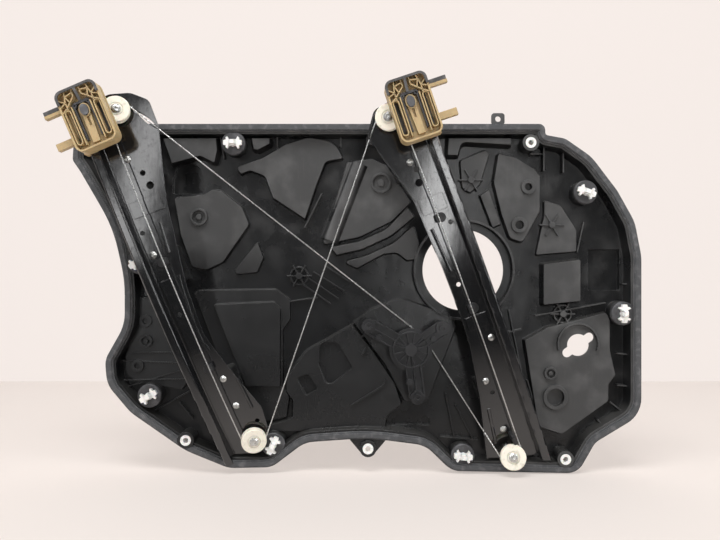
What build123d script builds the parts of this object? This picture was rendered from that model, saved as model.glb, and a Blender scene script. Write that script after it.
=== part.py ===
from build123d import *
import math
import os

# Dual-rail cable window regulator on a moulded door-module carrier.
# Millimetres. +X to the right and +Z up as seen from the wet side, +Y towards the cabin.
# The origin is the centre of the bottom fixing bush on the seat plane of the perimeter seal.

# ---------------------------------------------------------------- driving dimensions

WALL = 2.5                   # panel wall
SEAL_WIDTH = 10.5
SEAL_DEPTH = 5.0
FLOOR_Y = 26.0               # front face of the tray floor
TRAY_INSET = 11.0            # from the panel edge to the tray wall
TRAY_TAPER = 6               # degrees of draft on the tray wall
DRAFT = 12                   # degrees of draft on the raised fields
RIB = 1.8                    # rib thickness

RAIL_LEAN = 20.86            # degrees, rails against the vertical
RAIL_TILT = 6.26             # degrees, rail against the seal plane at mid travel
RAIL_RADIUS = 1580.0         # cable line of a rail, bowed like the glass
RAIL_MID_Y = -57.0
RAIL_MID_Z = 243.4
LEFT_MID_X = -257.0
RIGHT_MID_X = 114.0
SHEET = 1.5                  # rail sheet
WEB_DEPTH = 12.5             # from the cable line back to the web
FLANGE_RISE = 6.0            # stiffening flange of the rail, above its web
LIP_LIFT = 2.0               # guide lip of the rail, above the cable line
LIP_WIDTH = 10.0

CABLE_RADIUS = 0.85
PULLEY_PITCH = 14.3          # radius of the cable line on a pulley
PULLEY_RADIUS = 17.0
PULLEY_WIDTH = 9.0
AXLE_RADIUS = 4.0
RUNNING_GAP = 0.05           # radial, shaft in bore
SEAT_GAP = 0.1               # between seated pieces of one body
CLEARANCE = 0.3              # between pieces that move past each other

TRAVEL = 400.0               # carrier travel along the rail
CARRIER_REST = -206.0        # carrier centre along the rail, from mid travel
CARRIER_WIDTH = 53.0
CARRIER_HEIGHT = 79.0
CARRIER_SHIFT = 15.0         # carrier centre beside the cable, on the guide side
CARRIER_CORNER = 9.0
CARRIER_TURN = 2.5           # degrees, cell plate against the rail
CARRIER_BACK = 9.6           # back of the carrier above the cable line, clear of the top pulley
CARRIER_FRONT = 30.0
CARRIER_PLATE = 3.0
GLASS_GAP = 6.2              # slot for the glass and its liners
LINER = 0.5
SHOE_TOP, SHOE_FOOT = -201.0, -168.0         # the gliding shoe along the rail
NIPPLE_TOP, NIPPLE_FOOT = -196.0, -180.0     # the cable end nipples along the rail
NIPPLE_RADIUS = 2.0
BUTTON_TRAVEL = 3.0

DRUM_X, DRUM_Z = 58.4, 135.0
DRUM_PITCH = 24.3            # radius of the cable line on the drum
DRUM_FRONT, DRUM_BACK = 3.5, 17.5
FIRST_CABLE_Y, LAST_CABLE_Y = 7.0, 14.0
DRUM_SEAT = 19.0             # face of the panel that the drum housing stands on
GEAR_Y = 48.0                # middle plane of the worm wheel
WHEEL_TEETH = 73
GEAR_MODULE = 0.8
WHEEL_WIDTH = 8.0
WORM_PITCH_RADIUS = 5.0
TOOTH = 0.9                  # tooth and thread thickness at the pitch line, thin for backlash
ADDENDUM, DEDENDUM = 0.7, 1.0
SHAFT_RADIUS = 4.0           # drum shaft
ARMATURE_SHAFT_RADIUS = 2.5
GEARBOX_RADIUS = 34.0
GEARBOX_WALL = 2.5
GEARBOX_BACK = 54.0
COVER = 2.5
MOTOR_RADIUS = 17.0
MOTOR_FLAT = 14.0            # half height over the flats of the motor can
MOTOR_LENGTH = 58.0
MOTOR_MOUTH = 22.4           # x of the joint between motor and gearbox
CAN_WALL = 1.5

BUSH_RADIUS, BUSH_BORE = 7.3, 3.6
SPEAKER = (133.0, 243.4)
SPEAKER_RADIUS = 56.5

# Corners of the outlines are (x, z, corner radius).
PANEL_EDGE = [
    (-400, 443, 8), (242, 443, 9), (242, 428, 4), (269, 423, 20), (305, 398, 60), (340, 352, 60), (364, 309, 60),
    (373, 262, 60), (373, 46, 40), (310, 8, 25), (286, -34, 25), (114, -31, 30), (78, 4, 40), (0, 14, 300),
    (-86, 8, 40), (-131, -26, 30), (-190, -27, 40), (-249, -3, 100), (-324, 49, 60), (-356, 87, 40), (-359, 121, 30),
    (-332, 169, 60), (-332, 230, 200), (-348, 301, 200), (-392, 377, 60), (-403, 393, 10),
]

# Raised fields of the tray floor: outline and the depth of the top face.
FIELDS = {
    "fan": (16, [(-185, 387, 6), (-147, 400, 20), (-115, 419, 25), (-83, 429, 30), (-43, 422, 30), (-32, 396, 4),
                 (-57, 392, 8), (-69, 361, 60), (-86, 311, 3), (-133, 342, 4), (-144, 372, 6), (-163, 379, 6),
                 (-177, 374, 4)]),
    "middle": (20, [(-30, 394, 4), (6, 399, 8), (28, 389, 8), (61, 337, 6), (34, 310, 30), (-11, 288, 30),
                    (-64, 277, 4)]),
    "band": (16, [(-55, 276, 4), (-11, 285, 30), (24, 301, 30), (55, 333, 4), (67, 317, 4), (33, 289, 50),
                  (-8, 270, 50), (-44, 262, 4)]),
    "centre": (18, [(-39, 255, 4), (-4, 264, 40), (35, 282, 40), (64, 308, 4), (73, 281, 10), (70, 257, 5),
                    (54, 255, 5), (40, 266, 10), (22, 264, 10), (-15, 244, 5)]),
    "pan": (18, [(-270, 345, 4), (-229, 349, 10), (-216, 357, 6), (-202, 354, 6), (-173, 331, 8), (-163, 306, 8),
                 (-200, 253, 10), (-223, 242, 8), (-245, 246, 8), (-261, 292, 40)]),
    "triangle": (20, [(-153, 285, 3), (-144, 260, 4), (-153, 239, 4), (-183, 236, 3), (-187, 243, 3)]),
    "left_tray": (20, [(-244, 216, 6), (-128, 218, 10), (-107, 203, 8), (-107, 174, 6), (-117, 160, 6),
                       (-117, 82, 4), (-108, 68, 4), (-112, 38, 5), (-147, 31, 4), (-178, 70, 30),
                       (-211, 129, 20)]),
    "left_step": (14, [(-217, 198, 5), (-128, 202, 8), (-119, 190, 5), (-119, 80, 3), (-170, 80, 5)]),
    "lower": (16, [(-21, 170, 3), (-52, 152, 20), (-87, 133, 30), (-115, 94, 25), (-115, 75, 4), (-106, 63, 4),
                   (-106, 39, 5), (-138, 30, 3), (-144, 18, 3), (-94, 18, 4), (-83, 21, 6), (-59, 21, 6),
                   (-48, 18, 4), (25, 18, 2), (28, 41, 14), (49, 57, 4), (39, 87, 15), (10, 130, 30)]),
    "drum_seat": (DRUM_SEAT, [(-22, 171, 4), (3, 189, 4), (45, 206, 30), (90, 191, 8), (121, 177, 5), (124, 164, 5),
                       (100, 102, 30), (84, 60, 6), (50, 60, 6), (24, 110, 40)]),
    "upper_right": (16, [(179, 407, 5), (205, 401, 20), (231, 385, 10), (240, 374, 5), (240, 324, 6),
                         (215, 279, 8), (195, 286, 10), (183, 320, 20), (172, 365, 20)]),
    "star_field": (20, [(127, 396, 5), (164, 412, 4), (170, 405, 3), (157, 362, 5), (142, 349, 5),
                        (130, 357, 5)]),
    "right_bar": (18, [(154, 347, 2), (169, 357, 2), (186, 306, 2), (172, 300, 2)]),
    "right_middle": (20, [(244, 342, 4), (269, 334, 6), (291, 299, 6), (291, 268, 3), (232, 263, 3),
                          (244, 320, 4)]),
    "right_box": (12, [(239, 254, 5), (296, 261, 5), (296, 198, 5), (239, 192, 5)]),
    "lower_right": (16, [(249, 166, 5), (331, 187, 6), (337, 174, 4), (337, 133, 20), (345, 98, 4),
                         (335, 84, 4), (335, 61, 8), (269, 14, 8), (234, 25, 5), (215, 147, 4)]),
    "top_left": (10, [(-286, 428, 3), (-206, 428, 3), (-204, 408, 6), (-209, 386, 5), (-231, 397, 5),
                      (-272, 386, 4)]),
    "top_box": (10, [(-164, 428, 2), (-132, 428, 2), (-132, 415, 4), (-151, 405, 6), (-160, 407, 4)]),
    "top_right": (10, [(108, 428, 4), (200, 428, 4), (200, 412, 4), (131, 416, 6), (126, 398, 4),
                       (106, 398, 4)]),
    "left_field": (20, [(-328, 207, 3), (-289, 207, 3), (-264, 132, 10), (-247, 90, 5), (-258, 76, 5),
                        (-322, 86, 20), (-338, 100, 10), (-338, 125, 10), (-328, 153, 10)]),
}

# Sunk fields: depth of the surface that they are sunk from, depth of their own floor, and outline.
PANS = {
    "lock_recess": (16, 22, [(-67, 144, 10), (-42, 144, 10), (-21, 108, 5), (-50, 86, 5), (-58, 86, 5),
                         (-68, 111, 10)]),
    "square_recess": (16, 22, [(-99, 94, 3), (-83, 100, 3), (-69, 79, 3), (-86, 69, 3)]),
    "motor_pocket": (26, 34, [(308, 272, 2), (352, 272, 2), (352, 215, 2), (308, 215, 2)]),
    "arch_pocket": (26, 32, [(-273, 350, 2), (-272, 371, 4), (-266, 388, 10), (-251, 394, 12), (-236, 388, 10),
                         (-230, 371, 6), (-230, 350, 2)]),
    "half_pocket": (26, 33, [(31, 27, 2), (33, 35, 14), (44, 45, 8), (60, 48, 16), (75, 45, 8), (86, 35, 14),
                         (88, 27, 2)]),
}

FIXINGS = [(0.0, 0.0), (221.7, 416.8), (-248.2, 11.5), (269.0, -14.3)]
CLIPS = [(-184.2, 416.7), (297.5, 349.8), (-314.0, 254.3), (-298.8, 71.5), (-129.6, 4.6), (129.6, -10.4),
         (348.7, 184.0)]
CLIP_TURNS = [0, 20, -35, -30, -65, 5, 90]
STAR_BOSSES = [(-95.5, 235.1), (143.1, 368.2), (255.4, 305.8), (270.7, 182.4)]
DIMPLES = [(221.6, 358.3, 10), (209.2, 305.7, 11), (259.0, 67.6, 17), (-308.5, 172.8, 9), (-319.6, 110.5, 9)]
RING_BOSSES = [(-233.8, 316.8, 12, 14), (18.2, 364.1, 14, 17), (-55.2, 129.9, 9, 19), (252.1, 100.8, 9, 12),
               (-307.1, 145.1, 9, 15), (5.7, 424.0, 8, 14)]
KEYHOLE = (290.9, 139.6)
KEYHOLE_RADIUS = 15.2
KEYHOLE_SLOT = (50.0, 13.0, 35.0)            # length, width, angle
TAB_HOLE, TAB_BORE = (177.8, 449.9), 3.9
CLIP_SEAT, CLIP_HOLE = 14.0, 5.0
SCREW_RADIUS = 2.5
SPINDLE_HOLE = 10.0
HOUSING_SCREWS = [(0.7, 167.4), (101.4, 164.5), (66.9, 70.6)]
HOUSING_PINS = [(14.7, 152.1), (88.9, 150.2), (55.8, 91.7)]

# Blanks of the rails: (distance across, towards the flared side, distance down the rail, corner radius).
LEFT_BLANK = [(-36, 272, 8), (-36, -205, 10), (-16, -236, 14), (10, -237, 20), (36, -229, 16), (55, -212, 12),
              (55, -176, 14), (30, -84, 80), (12, 30, 120), (8, 95, 80), (22, 150, 40), (40, 214, 20),
              (36, 246, 12), (15, 271, 12)]
RIGHT_BLANK = [(-37, 298, 8), (-37, -200, 10), (-18, -230, 14), (10, -231, 18), (28, -228, 14), (48, -200, 12),
               (22, -106, 60), (17, -10, 100), (16, 60, 60), (18, 100, 60), (29, 174, 80), (48, 262, 14),
               (20, 298, 12)]
# Holes in the rails: (distance down, distance across, radius).
LEFT_HOLES = [(-127, 14.5, 3.6), (-109, 17.6, 4.8), (-55, -14.4, 3.0), (60, -10, 3.0), (232, 27, 3.0)]
RIGHT_HOLES = [(-139, 3.7, 3.6), (-121.5, 6.4, 4.8), (-60, -14, 3.0), (174, 9.5, 3.0), (20, 4, 3.0), (284, -20, 3.4)]

os.makedirs("parts", exist_ok=True)


def save(name, *solids):
    """Writes one named piece, or a group of alike pieces, to its own file."""
    flat = [s for shape in solids for s in shape.solids()]
    export_step(flat[0] if len(flat) == 1 else Compound(children=flat), f"parts/{name}.step")


def front(y):
    """The plane at depth y, seen from the wet side: x to the right, y up."""
    return Plane(origin=(0, y, 0), x_dir=(1, 0, 0), z_dir=(0, -1, 0))


def anticlockwise(corners):
    turn = sum(x * next_z - next_x * z for (x, z, _), (next_x, next_z, _) in zip(corners, corners[1:] + corners[:1]))
    return corners if turn > 0 else corners[::-1]


def outline(corners):
    """A face with rounded corners."""
    ordered = anticlockwise(corners)
    points = [(x, z) for x, z, _ in ordered]
    return make_face(FilletPolyline(*points, radius=[r for _, _, r in ordered], close=True))


def shrunk(corners, amount):
    """The outline with each side moved inwards, and its corner radii changed to suit."""
    ordered = anticlockwise(corners)
    result = []
    for before, here, after in zip(ordered[-1:] + ordered[:-1], ordered, ordered[1:] + ordered[:1]):
        arriving = (Vector(*here[:2]) - Vector(*before[:2])).normalized()
        leaving = (Vector(*after[:2]) - Vector(*here[:2])).normalized()
        inward = Vector(-arriving.Y, arriving.X) + Vector(-leaving.Y, leaving.X)
        place = Vector(*here[:2]) + inward * (amount / (1 + arriving.dot(leaving)))
        convex = arriving.cross(leaving).Z > 0
        result.append((place.X, place.Y, max(here[2] - amount, 0.5) if convex else here[2] + amount))
    return result


def slab(face, near, far, taper=0):
    """A flat sketch pushed from depth far towards the viewer up to depth near."""
    return front(far).location * extrude(face, amount=far - near, taper=taper)


def draft_lean(near, far):
    return (far - near) * math.tan(math.radians(DRAFT))


def drafted(corners, near, far):
    """An outline pushed towards the viewer, with its sides leaning in by the draft."""
    top = outline(shrunk(corners, draft_lean(near, far)))
    return loft([front(far) * outline(corners), front(near) * top], ruled=True)


def post(x, z, radius, near, far):
    return slab(Pos(x, z) * Circle(radius), near, far)


def rib(points, near, far, thickness=RIB):
    return slab(trace(Polyline(*points), line_width=thickness), near, far)


# ---------------------------------------------------------------- rail frame
# A rail is bent round a far axis behind the panel, square to the rail's length.

LEAN = math.radians(RAIL_LEAN)
TILT = math.radians(RAIL_TILT)
DOWN = Vector(math.sin(LEAN), 0, -math.cos(LEAN))
ACROSS = Vector(math.cos(LEAN), 0, math.sin(LEAN))
INTO = Vector(0, 1, 0)


def bend_angle(q):
    """Angle about the bend axis, from mid travel, of the point q along the rail."""
    return math.asin(q / RAIL_RADIUS + math.sin(TILT)) - TILT


def along(q):
    """Unit vector down the rail at q."""
    angle = bend_angle(q) + TILT
    return DOWN * math.cos(angle) + INTO * math.sin(angle)


def outward(q):
    """Unit vector off the rail towards the glass at q."""
    angle = bend_angle(q) + TILT
    return DOWN * math.sin(angle) - INTO * math.cos(angle)


def mid(mid_x):
    return Vector(mid_x, RAIL_MID_Y, RAIL_MID_Z)


def bend_centre(mid_x):
    return mid(mid_x) - DOWN * RAIL_RADIUS * math.sin(TILT) + INTO * RAIL_RADIUS * math.cos(TILT)


def on_cable(mid_x, q):
    """Point of the cable line at q along the rail."""
    return bend_centre(mid_x) + outward(q) * RAIL_RADIUS


def on_rail(mid_x, q, w=0.0, lift=0.0):
    """Frame on a rail: x across to the right, y up the rail, z towards the glass."""
    return Plane(origin=on_cable(mid_x, q) + ACROSS * w + outward(q) * lift, x_dir=ACROSS, z_dir=outward(q))


def bent(mid_x, section, q_top, q_bottom):
    """A section, given in (w, lift), run along the rail from q_top to q_bottom."""
    plane = Plane(origin=on_cable(mid_x, q_top), x_dir=ACROSS, z_dir=along(q_top))
    sweep_angle = math.degrees(bend_angle(q_bottom) - bend_angle(q_top))
    return revolve(plane * section, axis=Axis(bend_centre(mid_x), ACROSS), revolution_arc=sweep_angle)


def blank(mid_x, face):
    """A flat pattern, drawn with w across and q downwards, pushed through the rail's depth."""
    plane = Plane(origin=mid(mid_x), x_dir=ACROSS, z_dir=-INTO)
    return extrude(plane * face, amount=150, both=True)


def under(mid_x, lift, q_top, q_bottom):
    """Everything behind a given lift over a stretch of rail."""
    return bent(mid_x, Pos(0, lift - 40) * Rectangle(200, 80), q_top, q_bottom)


# ---------------------------------------------------------------- cable line

class Turn:
    """The arc of cable round a pulley that takes the line from a rail end to another point."""

    def __init__(self, start, direction, target):
        self.start = start
        self.axis = direction.cross(target - start).normalized()
        towards = self.axis.cross(direction).normalized()
        if towards.dot(target - start) < 0:
            towards = -towards
        self.centre = start + towards * PULLEY_PITCH
        reach = target - self.centre
        swing = math.acos(PULLEY_PITCH / reach.length)
        side = reach.normalized()
        normal = towards.cross(direction).normalized()
        spot = [side.rotate(Axis((0, 0, 0), normal), s * math.degrees(swing)) for s in (1, -1)]
        heading = [(target - (self.centre + s * PULLEY_PITCH)).normalized() for s in spot]
        # The line has to leave the pulley the way that it runs round it.
        pick = [s for s, h in zip(spot, heading) if (-towards).cross(direction).dot(s.cross(h)) > 0][0]
        self.leave = self.centre + pick * PULLEY_PITCH
        half = (pick - towards).normalized()
        if half.dot(direction) < 0:
            half = -half
        self.middle = self.centre + half * PULLEY_PITCH
        if self.axis.Y > 0:
            self.axis = -self.axis

    def arc(self):
        return Edge.make_three_point_arc(self.start, self.middle, self.leave)

    def frame(self):
        """Frame of the pulley: z along its axle, towards the viewer."""
        return Plane(origin=self.centre, x_dir=self.axis.cross(Vector(0, 0, 1)).cross(self.axis), z_dir=self.axis)


TOP_END = -212.0             # where the cable leaves the rail for its top pulley
LEFT_END = 252.0
RIGHT_GUIDE = 238.0          # where a guide turns the right cable into its low pulley's plane
RIGHT_REACH = 20.0           # from that guide to the pulley
GUIDE_BEND = 12.0

top_left_start = on_cable(LEFT_MID_X, TOP_END)
top_right_start = on_cable(RIGHT_MID_X, TOP_END)
low_left_start = on_cable(LEFT_MID_X, LEFT_END)
guide_point = on_cable(RIGHT_MID_X, RIGHT_GUIDE)


def drum_touch(pulley_point, y):
    """Point where the line from a pulley touches the drum, on the drum's upper right."""
    dx, dz = pulley_point.X - DRUM_X, pulley_point.Z - DRUM_Z
    reach = math.hypot(dx, dz)
    swing = math.acos(DRUM_PITCH / reach)
    base = math.atan2(dz, dx)
    best = max((base + swing, base - swing), key=lambda a: math.cos(a - math.radians(42)))
    return Vector(DRUM_X + DRUM_PITCH * math.cos(best), y, DRUM_Z + DRUM_PITCH * math.sin(best))


def square_to(vector, normal):
    """The part of a vector that is square to a unit normal, as a unit vector."""
    return (vector - normal * vector.dot(normal)).normalized()


first_touch = drum_touch(top_left_start, FIRST_CABLE_Y)
for _ in range(4):
    top_left = Turn(top_left_start, -along(TOP_END), first_touch)
    first_touch = drum_touch(top_left.leave, FIRST_CABLE_Y)

last_touch = drum_touch(guide_point, LAST_CABLE_Y)
line_out = (last_touch - guide_point).normalized()
for _ in range(8):
    heading = square_to(along(RIGHT_GUIDE), square_to(-INTO, line_out))
    bend = math.radians(along(RIGHT_GUIDE).get_angle(heading))
    bend_reach = GUIDE_BEND * math.tan(bend / 2)
    bend_end = guide_point + (along(RIGHT_GUIDE) + heading) * bend_reach
    low_right = Turn(bend_end + heading * RIGHT_REACH, heading, last_touch)
    last_touch = drum_touch(low_right.leave, LAST_CABLE_Y)
    line_out = (last_touch - low_right.leave).normalized()

# The cross line between the two middle pulleys lies in the plane of both.
cross_top = top_right_start - ACROSS * 2 * PULLEY_PITCH
for _ in range(12):
    low_left = Turn(low_left_start, along(LEFT_END), cross_top)
    top_right = Turn(top_right_start, -along(TOP_END), low_left.leave)
    cross_top = top_right.leave


def rail_arc(mid_x, q_from, q_to):
    ends = on_cable(mid_x, q_from), on_cable(mid_x, (q_from + q_to) / 2), on_cable(mid_x, q_to)
    return Edge.make_three_point_arc(*ends)


def cord(*edges):
    path = Wire(edges)
    start = Plane(origin=path @ 0, z_dir=path % 0)
    body = sweep(start * Circle(CABLE_RADIUS), path=path)
    ideal = math.pi * CABLE_RADIUS ** 2 * path.length
    print(f"cable {path.length:.1f} mm long, volume {body.volume:.1f}, section times length {ideal:.1f}")
    return body


cable_up = cord(
    Edge.make_line(first_touch, top_left.leave), top_left.arc(), rail_arc(LEFT_MID_X, TOP_END, CARRIER_REST))
cable_cross = cord(
    rail_arc(LEFT_MID_X, CARRIER_REST, LEFT_END), low_left.arc(),
    Edge.make_line(low_left.leave, top_right.leave), top_right.arc(),
    rail_arc(RIGHT_MID_X, TOP_END, CARRIER_REST))
cable_down = cord(
    rail_arc(RIGHT_MID_X, CARRIER_REST, RIGHT_GUIDE),
    Edge.make_tangent_arc(guide_point, along(RIGHT_GUIDE), bend_end),
    Edge.make_line(bend_end, low_right.start), low_right.arc(),
    Edge.make_line(low_right.leave, last_touch))
save("cable_upper", cable_up)
save("cable_cross", cable_cross)
save("cable_lower", cable_down)

# ---------------------------------------------------------------- carrier panel
# Towers that carry the rails: rail, q along it, w across it, width, length along the rail.

PYLONS = [
    (LEFT_MID_X, -152.0, 10.0, 34.0, 44.0), (LEFT_MID_X, -10.0, -8.0, 28.0, 54.0),
    (LEFT_MID_X, 180.0, 6.0, 30.0, 70.0),
    (RIGHT_MID_X, -158.0, -10.0, 34.0, 44.0), (RIGHT_MID_X, 92.0, 6.0, 28.0, 40.0),
    (RIGHT_MID_X, 196.0, -8.0, 34.0, 90.0),
]
RIVETS = [(LEFT_MID_X, -150.0, 2.4), (LEFT_MID_X, -24.0, -12.0), (LEFT_MID_X, 161.0, 8.0), (LEFT_MID_X, 201.7, 9.0),
          (RIGHT_MID_X, -150.0, -8.0), (RIGHT_MID_X, 101.8, 13.0), (RIGHT_MID_X, 155.6, -13.2),
          (RIGHT_MID_X, 229.4, -12.0)]
RIVET_RADIUS, RIVET_HEAD = 2.6, 4.6
RIVET_DEPTH = 12.0
RAIL_BACK = WEB_DEPTH + SHEET                # from the cable line to the back of the web
BACK = FLOOR_Y + WALL                        # back face of the tray floor


def rail_plan(mid_x, q, w):
    """The plan place (x, z) of a rail point."""
    point = mid(mid_x) + DOWN * q + ACROSS * w
    return point.X, point.Z


def pylon(mid_x, q, w, width, length):
    """A hollow moulded tower from the tray floor to the back of a rail, and the hollow in it."""
    x, z = rail_plan(mid_x, q, w)
    tower = slab(Pos(x, z) * Rot(0, 0, RAIL_LEAN) * RectangleRounded(width, length, 5), RAIL_MID_Y, FLOOR_Y + 1)
    core_shape = RectangleRounded(width - 2 * WALL, length - 2 * WALL, 3)
    core = slab(Pos(x, z) * Rot(0, 0, RAIL_LEAN) * core_shape, RAIL_MID_Y, BACK + 1)
    reach = length
    above = bent(mid_x, Pos(0, 40 - RAIL_BACK - SEAT_GAP) * Rectangle(200, 80), q - reach, q + reach)
    roof = bent(mid_x, Pos(0, 40 - RAIL_BACK - SEAT_GAP - 2 * WALL) * Rectangle(200, 80), q - reach, q + reach)
    return tower - above, core - roof


def on_web(mid_x, q, w):
    return on_rail(mid_x, q, w, -WEB_DEPTH)


def star_boss(x, z, near):
    """A round boss with a star of ribs that stiffens a floor."""
    ring = post(x, z, 13, near + 4, FLOOR_Y + 1) - post(x, z, 11, near, FLOOR_Y + 2)
    star = [rib([(x - 17 * math.cos(a), z - 17 * math.sin(a)), (x + 17 * math.cos(a), z + 17 * math.sin(a))],
                near + 2, FLOOR_Y + 1) for a in (math.radians(t) for t in (0, 60, 120))]
    return [ring, post(x, z, 4.5, near, FLOOR_Y + 1), *star]


# Ribs of the tray floor: depth of the crest and the run of points.
RIBS = [
    (12, [(-24, 56), (-8, 66), (20, 83), (24, 92)]), (12, [(-8, 126), (-2, 138), (-10, 150), (-2, 156)]),
    (20, [(-118, 198), (-70, 205)]), (20, [(-61, 250), (-24, 226)]), (20, [(-83, 232), (-41, 203)]),
    (20, [(-76, 241), (-33, 214)]), (20, [(-90, 223), (-52, 196)]),
    (18, [(-327, 129), (-270, 129)]), (18, [(-350, 118), (-262, 114)]), (18, [(-352, 90), (-250, 92)]),
    (19, [(-345, 78), (-258, 104)]), (19, [(-300, 46), (-246, 76)]), (20, [(-262, 60), (-243, 36)]),
    (20, [(-285, 207), (-285, 240)]), (20, [(-340, 207), (-318, 207)]),
    (18, [(108, 72), (120, 10)]), (18, [(122, 56), (146, 8)]), (18, [(100, 12), (152, 8)]),
    (20, [(176, 152), (214, 161)]), (20, [(196, 188), (214, 100)]),
    (20, [(222, 90), (244, 10)]), (20, [(291, 268), (300, 310)]), (18, [(232, 180), (330, 198)]),
    (16, [(345, 128), (364, 126)]), (16, [(345, 224), (364, 224)]),
    (16, [(345, 84), (364, 82)]), (16, [(335, 61), (352, 48)]), (16, [(318, 36), (330, 24)]),
    (14, [(243, 424), (243, 380)]), (14, [(270, 418), (270, 378)]), (16, [(225, 404), (243, 404)]),
    (20, [(-205, 428), (-200, 398)]), (20, [(-126, 428), (-126, 412)]), (20, [(-38, 428), (-38, 414)]),
    (20, [(16, 428), (20, 400)]), (20, [(-64, 350), (-88, 302)]), (18, [(-350, 330), (-330, 330)]),
]


def make_panel():
    rim = outline(PANEL_EDGE)
    floor_edge = offset(rim, -TRAY_INSET - WALL)
    flange = slab(rim, SEAL_DEPTH, SEAL_DEPTH + WALL)
    deep = (BACK - SEAL_DEPTH) * math.tan(math.radians(TRAY_TAPER))
    tub = slab(offset(rim, -TRAY_INSET - deep), SEAL_DEPTH, BACK, -TRAY_TAPER)
    hollow = slab(offset(floor_edge, -deep), SEAL_DEPTH - 1, FLOOR_Y, -TRAY_TAPER)
    shell = [(flange + tub) - hollow]
    cores = []
    for near, corners in FIELDS.values():
        shell.append(drafted(corners, near, FLOOR_Y + 1))
        if near <= 18:
            core = shrunk(corners, WALL + draft_lean(near, FLOOR_Y + 1))
            cores.append(slab(outline(core), near + WALL, BACK + 1))

    # the rounded channel that runs down from the top edge
    top, foot = Vector(-11, FLOOR_Y + 4, 391), Vector(-52, FLOOR_Y + 4, 284)
    run = (foot - top).normalized()
    channel = Solid.make_cylinder(15, (foot - top).length, Plane(origin=top, z_dir=run))
    shell.append(channel - slab(Rectangle(1200, 1200), FLOOR_Y + 1, FLOOR_Y + 60))
    cores.append(Solid.make_cylinder(15 - WALL, (foot - top).length - 8, Plane(origin=top + run * 4, z_dir=run)))

    details, voids = [], []
    for x, z in FIXINGS:
        deep_boss = (x, z) != FIXINGS[0]
        details.append(post(x, z, BUSH_RADIUS + 4, 0.5, BACK if deep_boss else SEAL_DEPTH + WALL))
        voids.append(post(x, z, BUSH_RADIUS + SEAT_GAP, -5, 60))
    details.append(slab(outline([(-27, 14, 2), (27, 14, 2), (0, -18, 11)]), SEAL_DEPTH, SEAL_DEPTH + WALL))
    details.append(slab(Pos(*TAB_HOLE) * RectangleRounded(18, 16, 4), SEAL_DEPTH, SEAL_DEPTH + WALL))
    voids.append(post(*TAB_HOLE, TAB_BORE, -5, 60))
    for x, z in CLIPS:
        details.append(post(x, z, CLIP_SEAT + WALL, 9, BACK))
        voids.append(post(x, z, CLIP_SEAT, 8, 12))
        voids.append(post(x, z, CLIP_HOLE, 0, 60))
    for x, z in STAR_BOSSES:
        details += star_boss(x, z, 16)
    for x, z, radius in DIMPLES:
        details.append(post(x, z, radius, 13 if radius > 9 else 17, FLOOR_Y + 1))
        voids.append(post(x, z, radius - 5, 10, FLOOR_Y - 5))
    for x, z, radius, near in RING_BOSSES:
        wall = post(x, z, radius, near, FLOOR_Y + 1) - post(x, z, radius - 3, near - 1, near + 4)
        details += [wall, post(x, z, radius / 3, near + 1, near + 5)]
    for surface, depth, corners in PANS.values():
        face = outline(corners)
        details.append(slab(offset(face, WALL), surface + 1, depth + WALL))
        voids.append(slab(face, 0, depth))

    # speaker opening with its collar
    sx, sz = SPEAKER
    details.append(post(sx, sz, SPEAKER_RADIUS + 13.5, 14, BACK))
    voids.append(post(sx, sz, SPEAKER_RADIUS + 10.5, 10, FLOOR_Y))
    voids.append(post(sx, sz, SPEAKER_RADIUS, 0, 60))

    # keyhole opening and the arched wall round it
    kx, kz = KEYHOLE
    length, width, turn = KEYHOLE_SLOT
    arch = Pos(kx - 1, kz + 2) * (Circle(29) - Circle(26.5) - Pos(0, -24) * Rectangle(70, 30))
    details.append(slab(arch, 11, 17))
    voids.append(slab(Pos(kx, kz) * (Circle(KEYHOLE_RADIUS) + Rot(0, 0, turn) * SlotOverall(length, width)), 0, 60))

    clip_area = slab(floor_edge, SEAL_DEPTH, FLOOR_Y + 1)
    for crest, points in RIBS:
        details.append(rib(points, crest, FLOOR_Y + 1) & clip_area)
    for row in PYLONS:
        tower, core = pylon(*row)
        details.append(tower)
        voids.append(core)
    for row in RIVETS:
        voids.append(extrude(on_web(*row) * Circle(RIVET_RADIUS + SEAT_GAP), amount=-SHEET - RIVET_DEPTH - 1))

    # spindle opening and screw holes of the drum housing
    voids.append(post(DRUM_X, DRUM_Z, SPINDLE_HOLE, 0, 60))
    for x, z in HOUSING_SCREWS:
        voids.append(post(x, z, SCREW_RADIUS + SEAT_GAP, 0, 60))

    def flat(shapes):
        return [solid for shape in shapes for solid in shape.solids()]

    base = shell[0].fuse(*flat(shell[1:])).cut(*flat(cores))
    return base.fuse(*flat(details)).cut(*flat(voids))


panel = make_panel()
save("carrier_panel", panel)

# ---------------------------------------------------------------- seal, fixing bushes and clips

rim = outline(PANEL_EDGE)
ring = offset(rim, -0.5) - offset(rim, -SEAL_WIDTH)
crown = offset(rim, -2.5) - offset(rim, -SEAL_WIDTH + 2)
seal = slab(ring, 2, SEAL_DEPTH - SEAT_GAP) + slab(crown, 0, 2)
for x, z in FIXINGS:
    seal -= post(x, z, BUSH_RADIUS + 4 + SEAT_GAP, -1, SEAL_DEPTH)
save("perimeter_seal", max(seal.solids(), key=lambda s: s.volume))

bushes = []
for x, z in FIXINGS:
    far = SEAL_DEPTH + WALL if (x, z) == FIXINGS[0] else BACK
    bushes.append(post(x, z, BUSH_RADIUS, 0, far) - post(x, z, BUSH_BORE, -1, far + 1))
save("fixing_bushes", *bushes)


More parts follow.
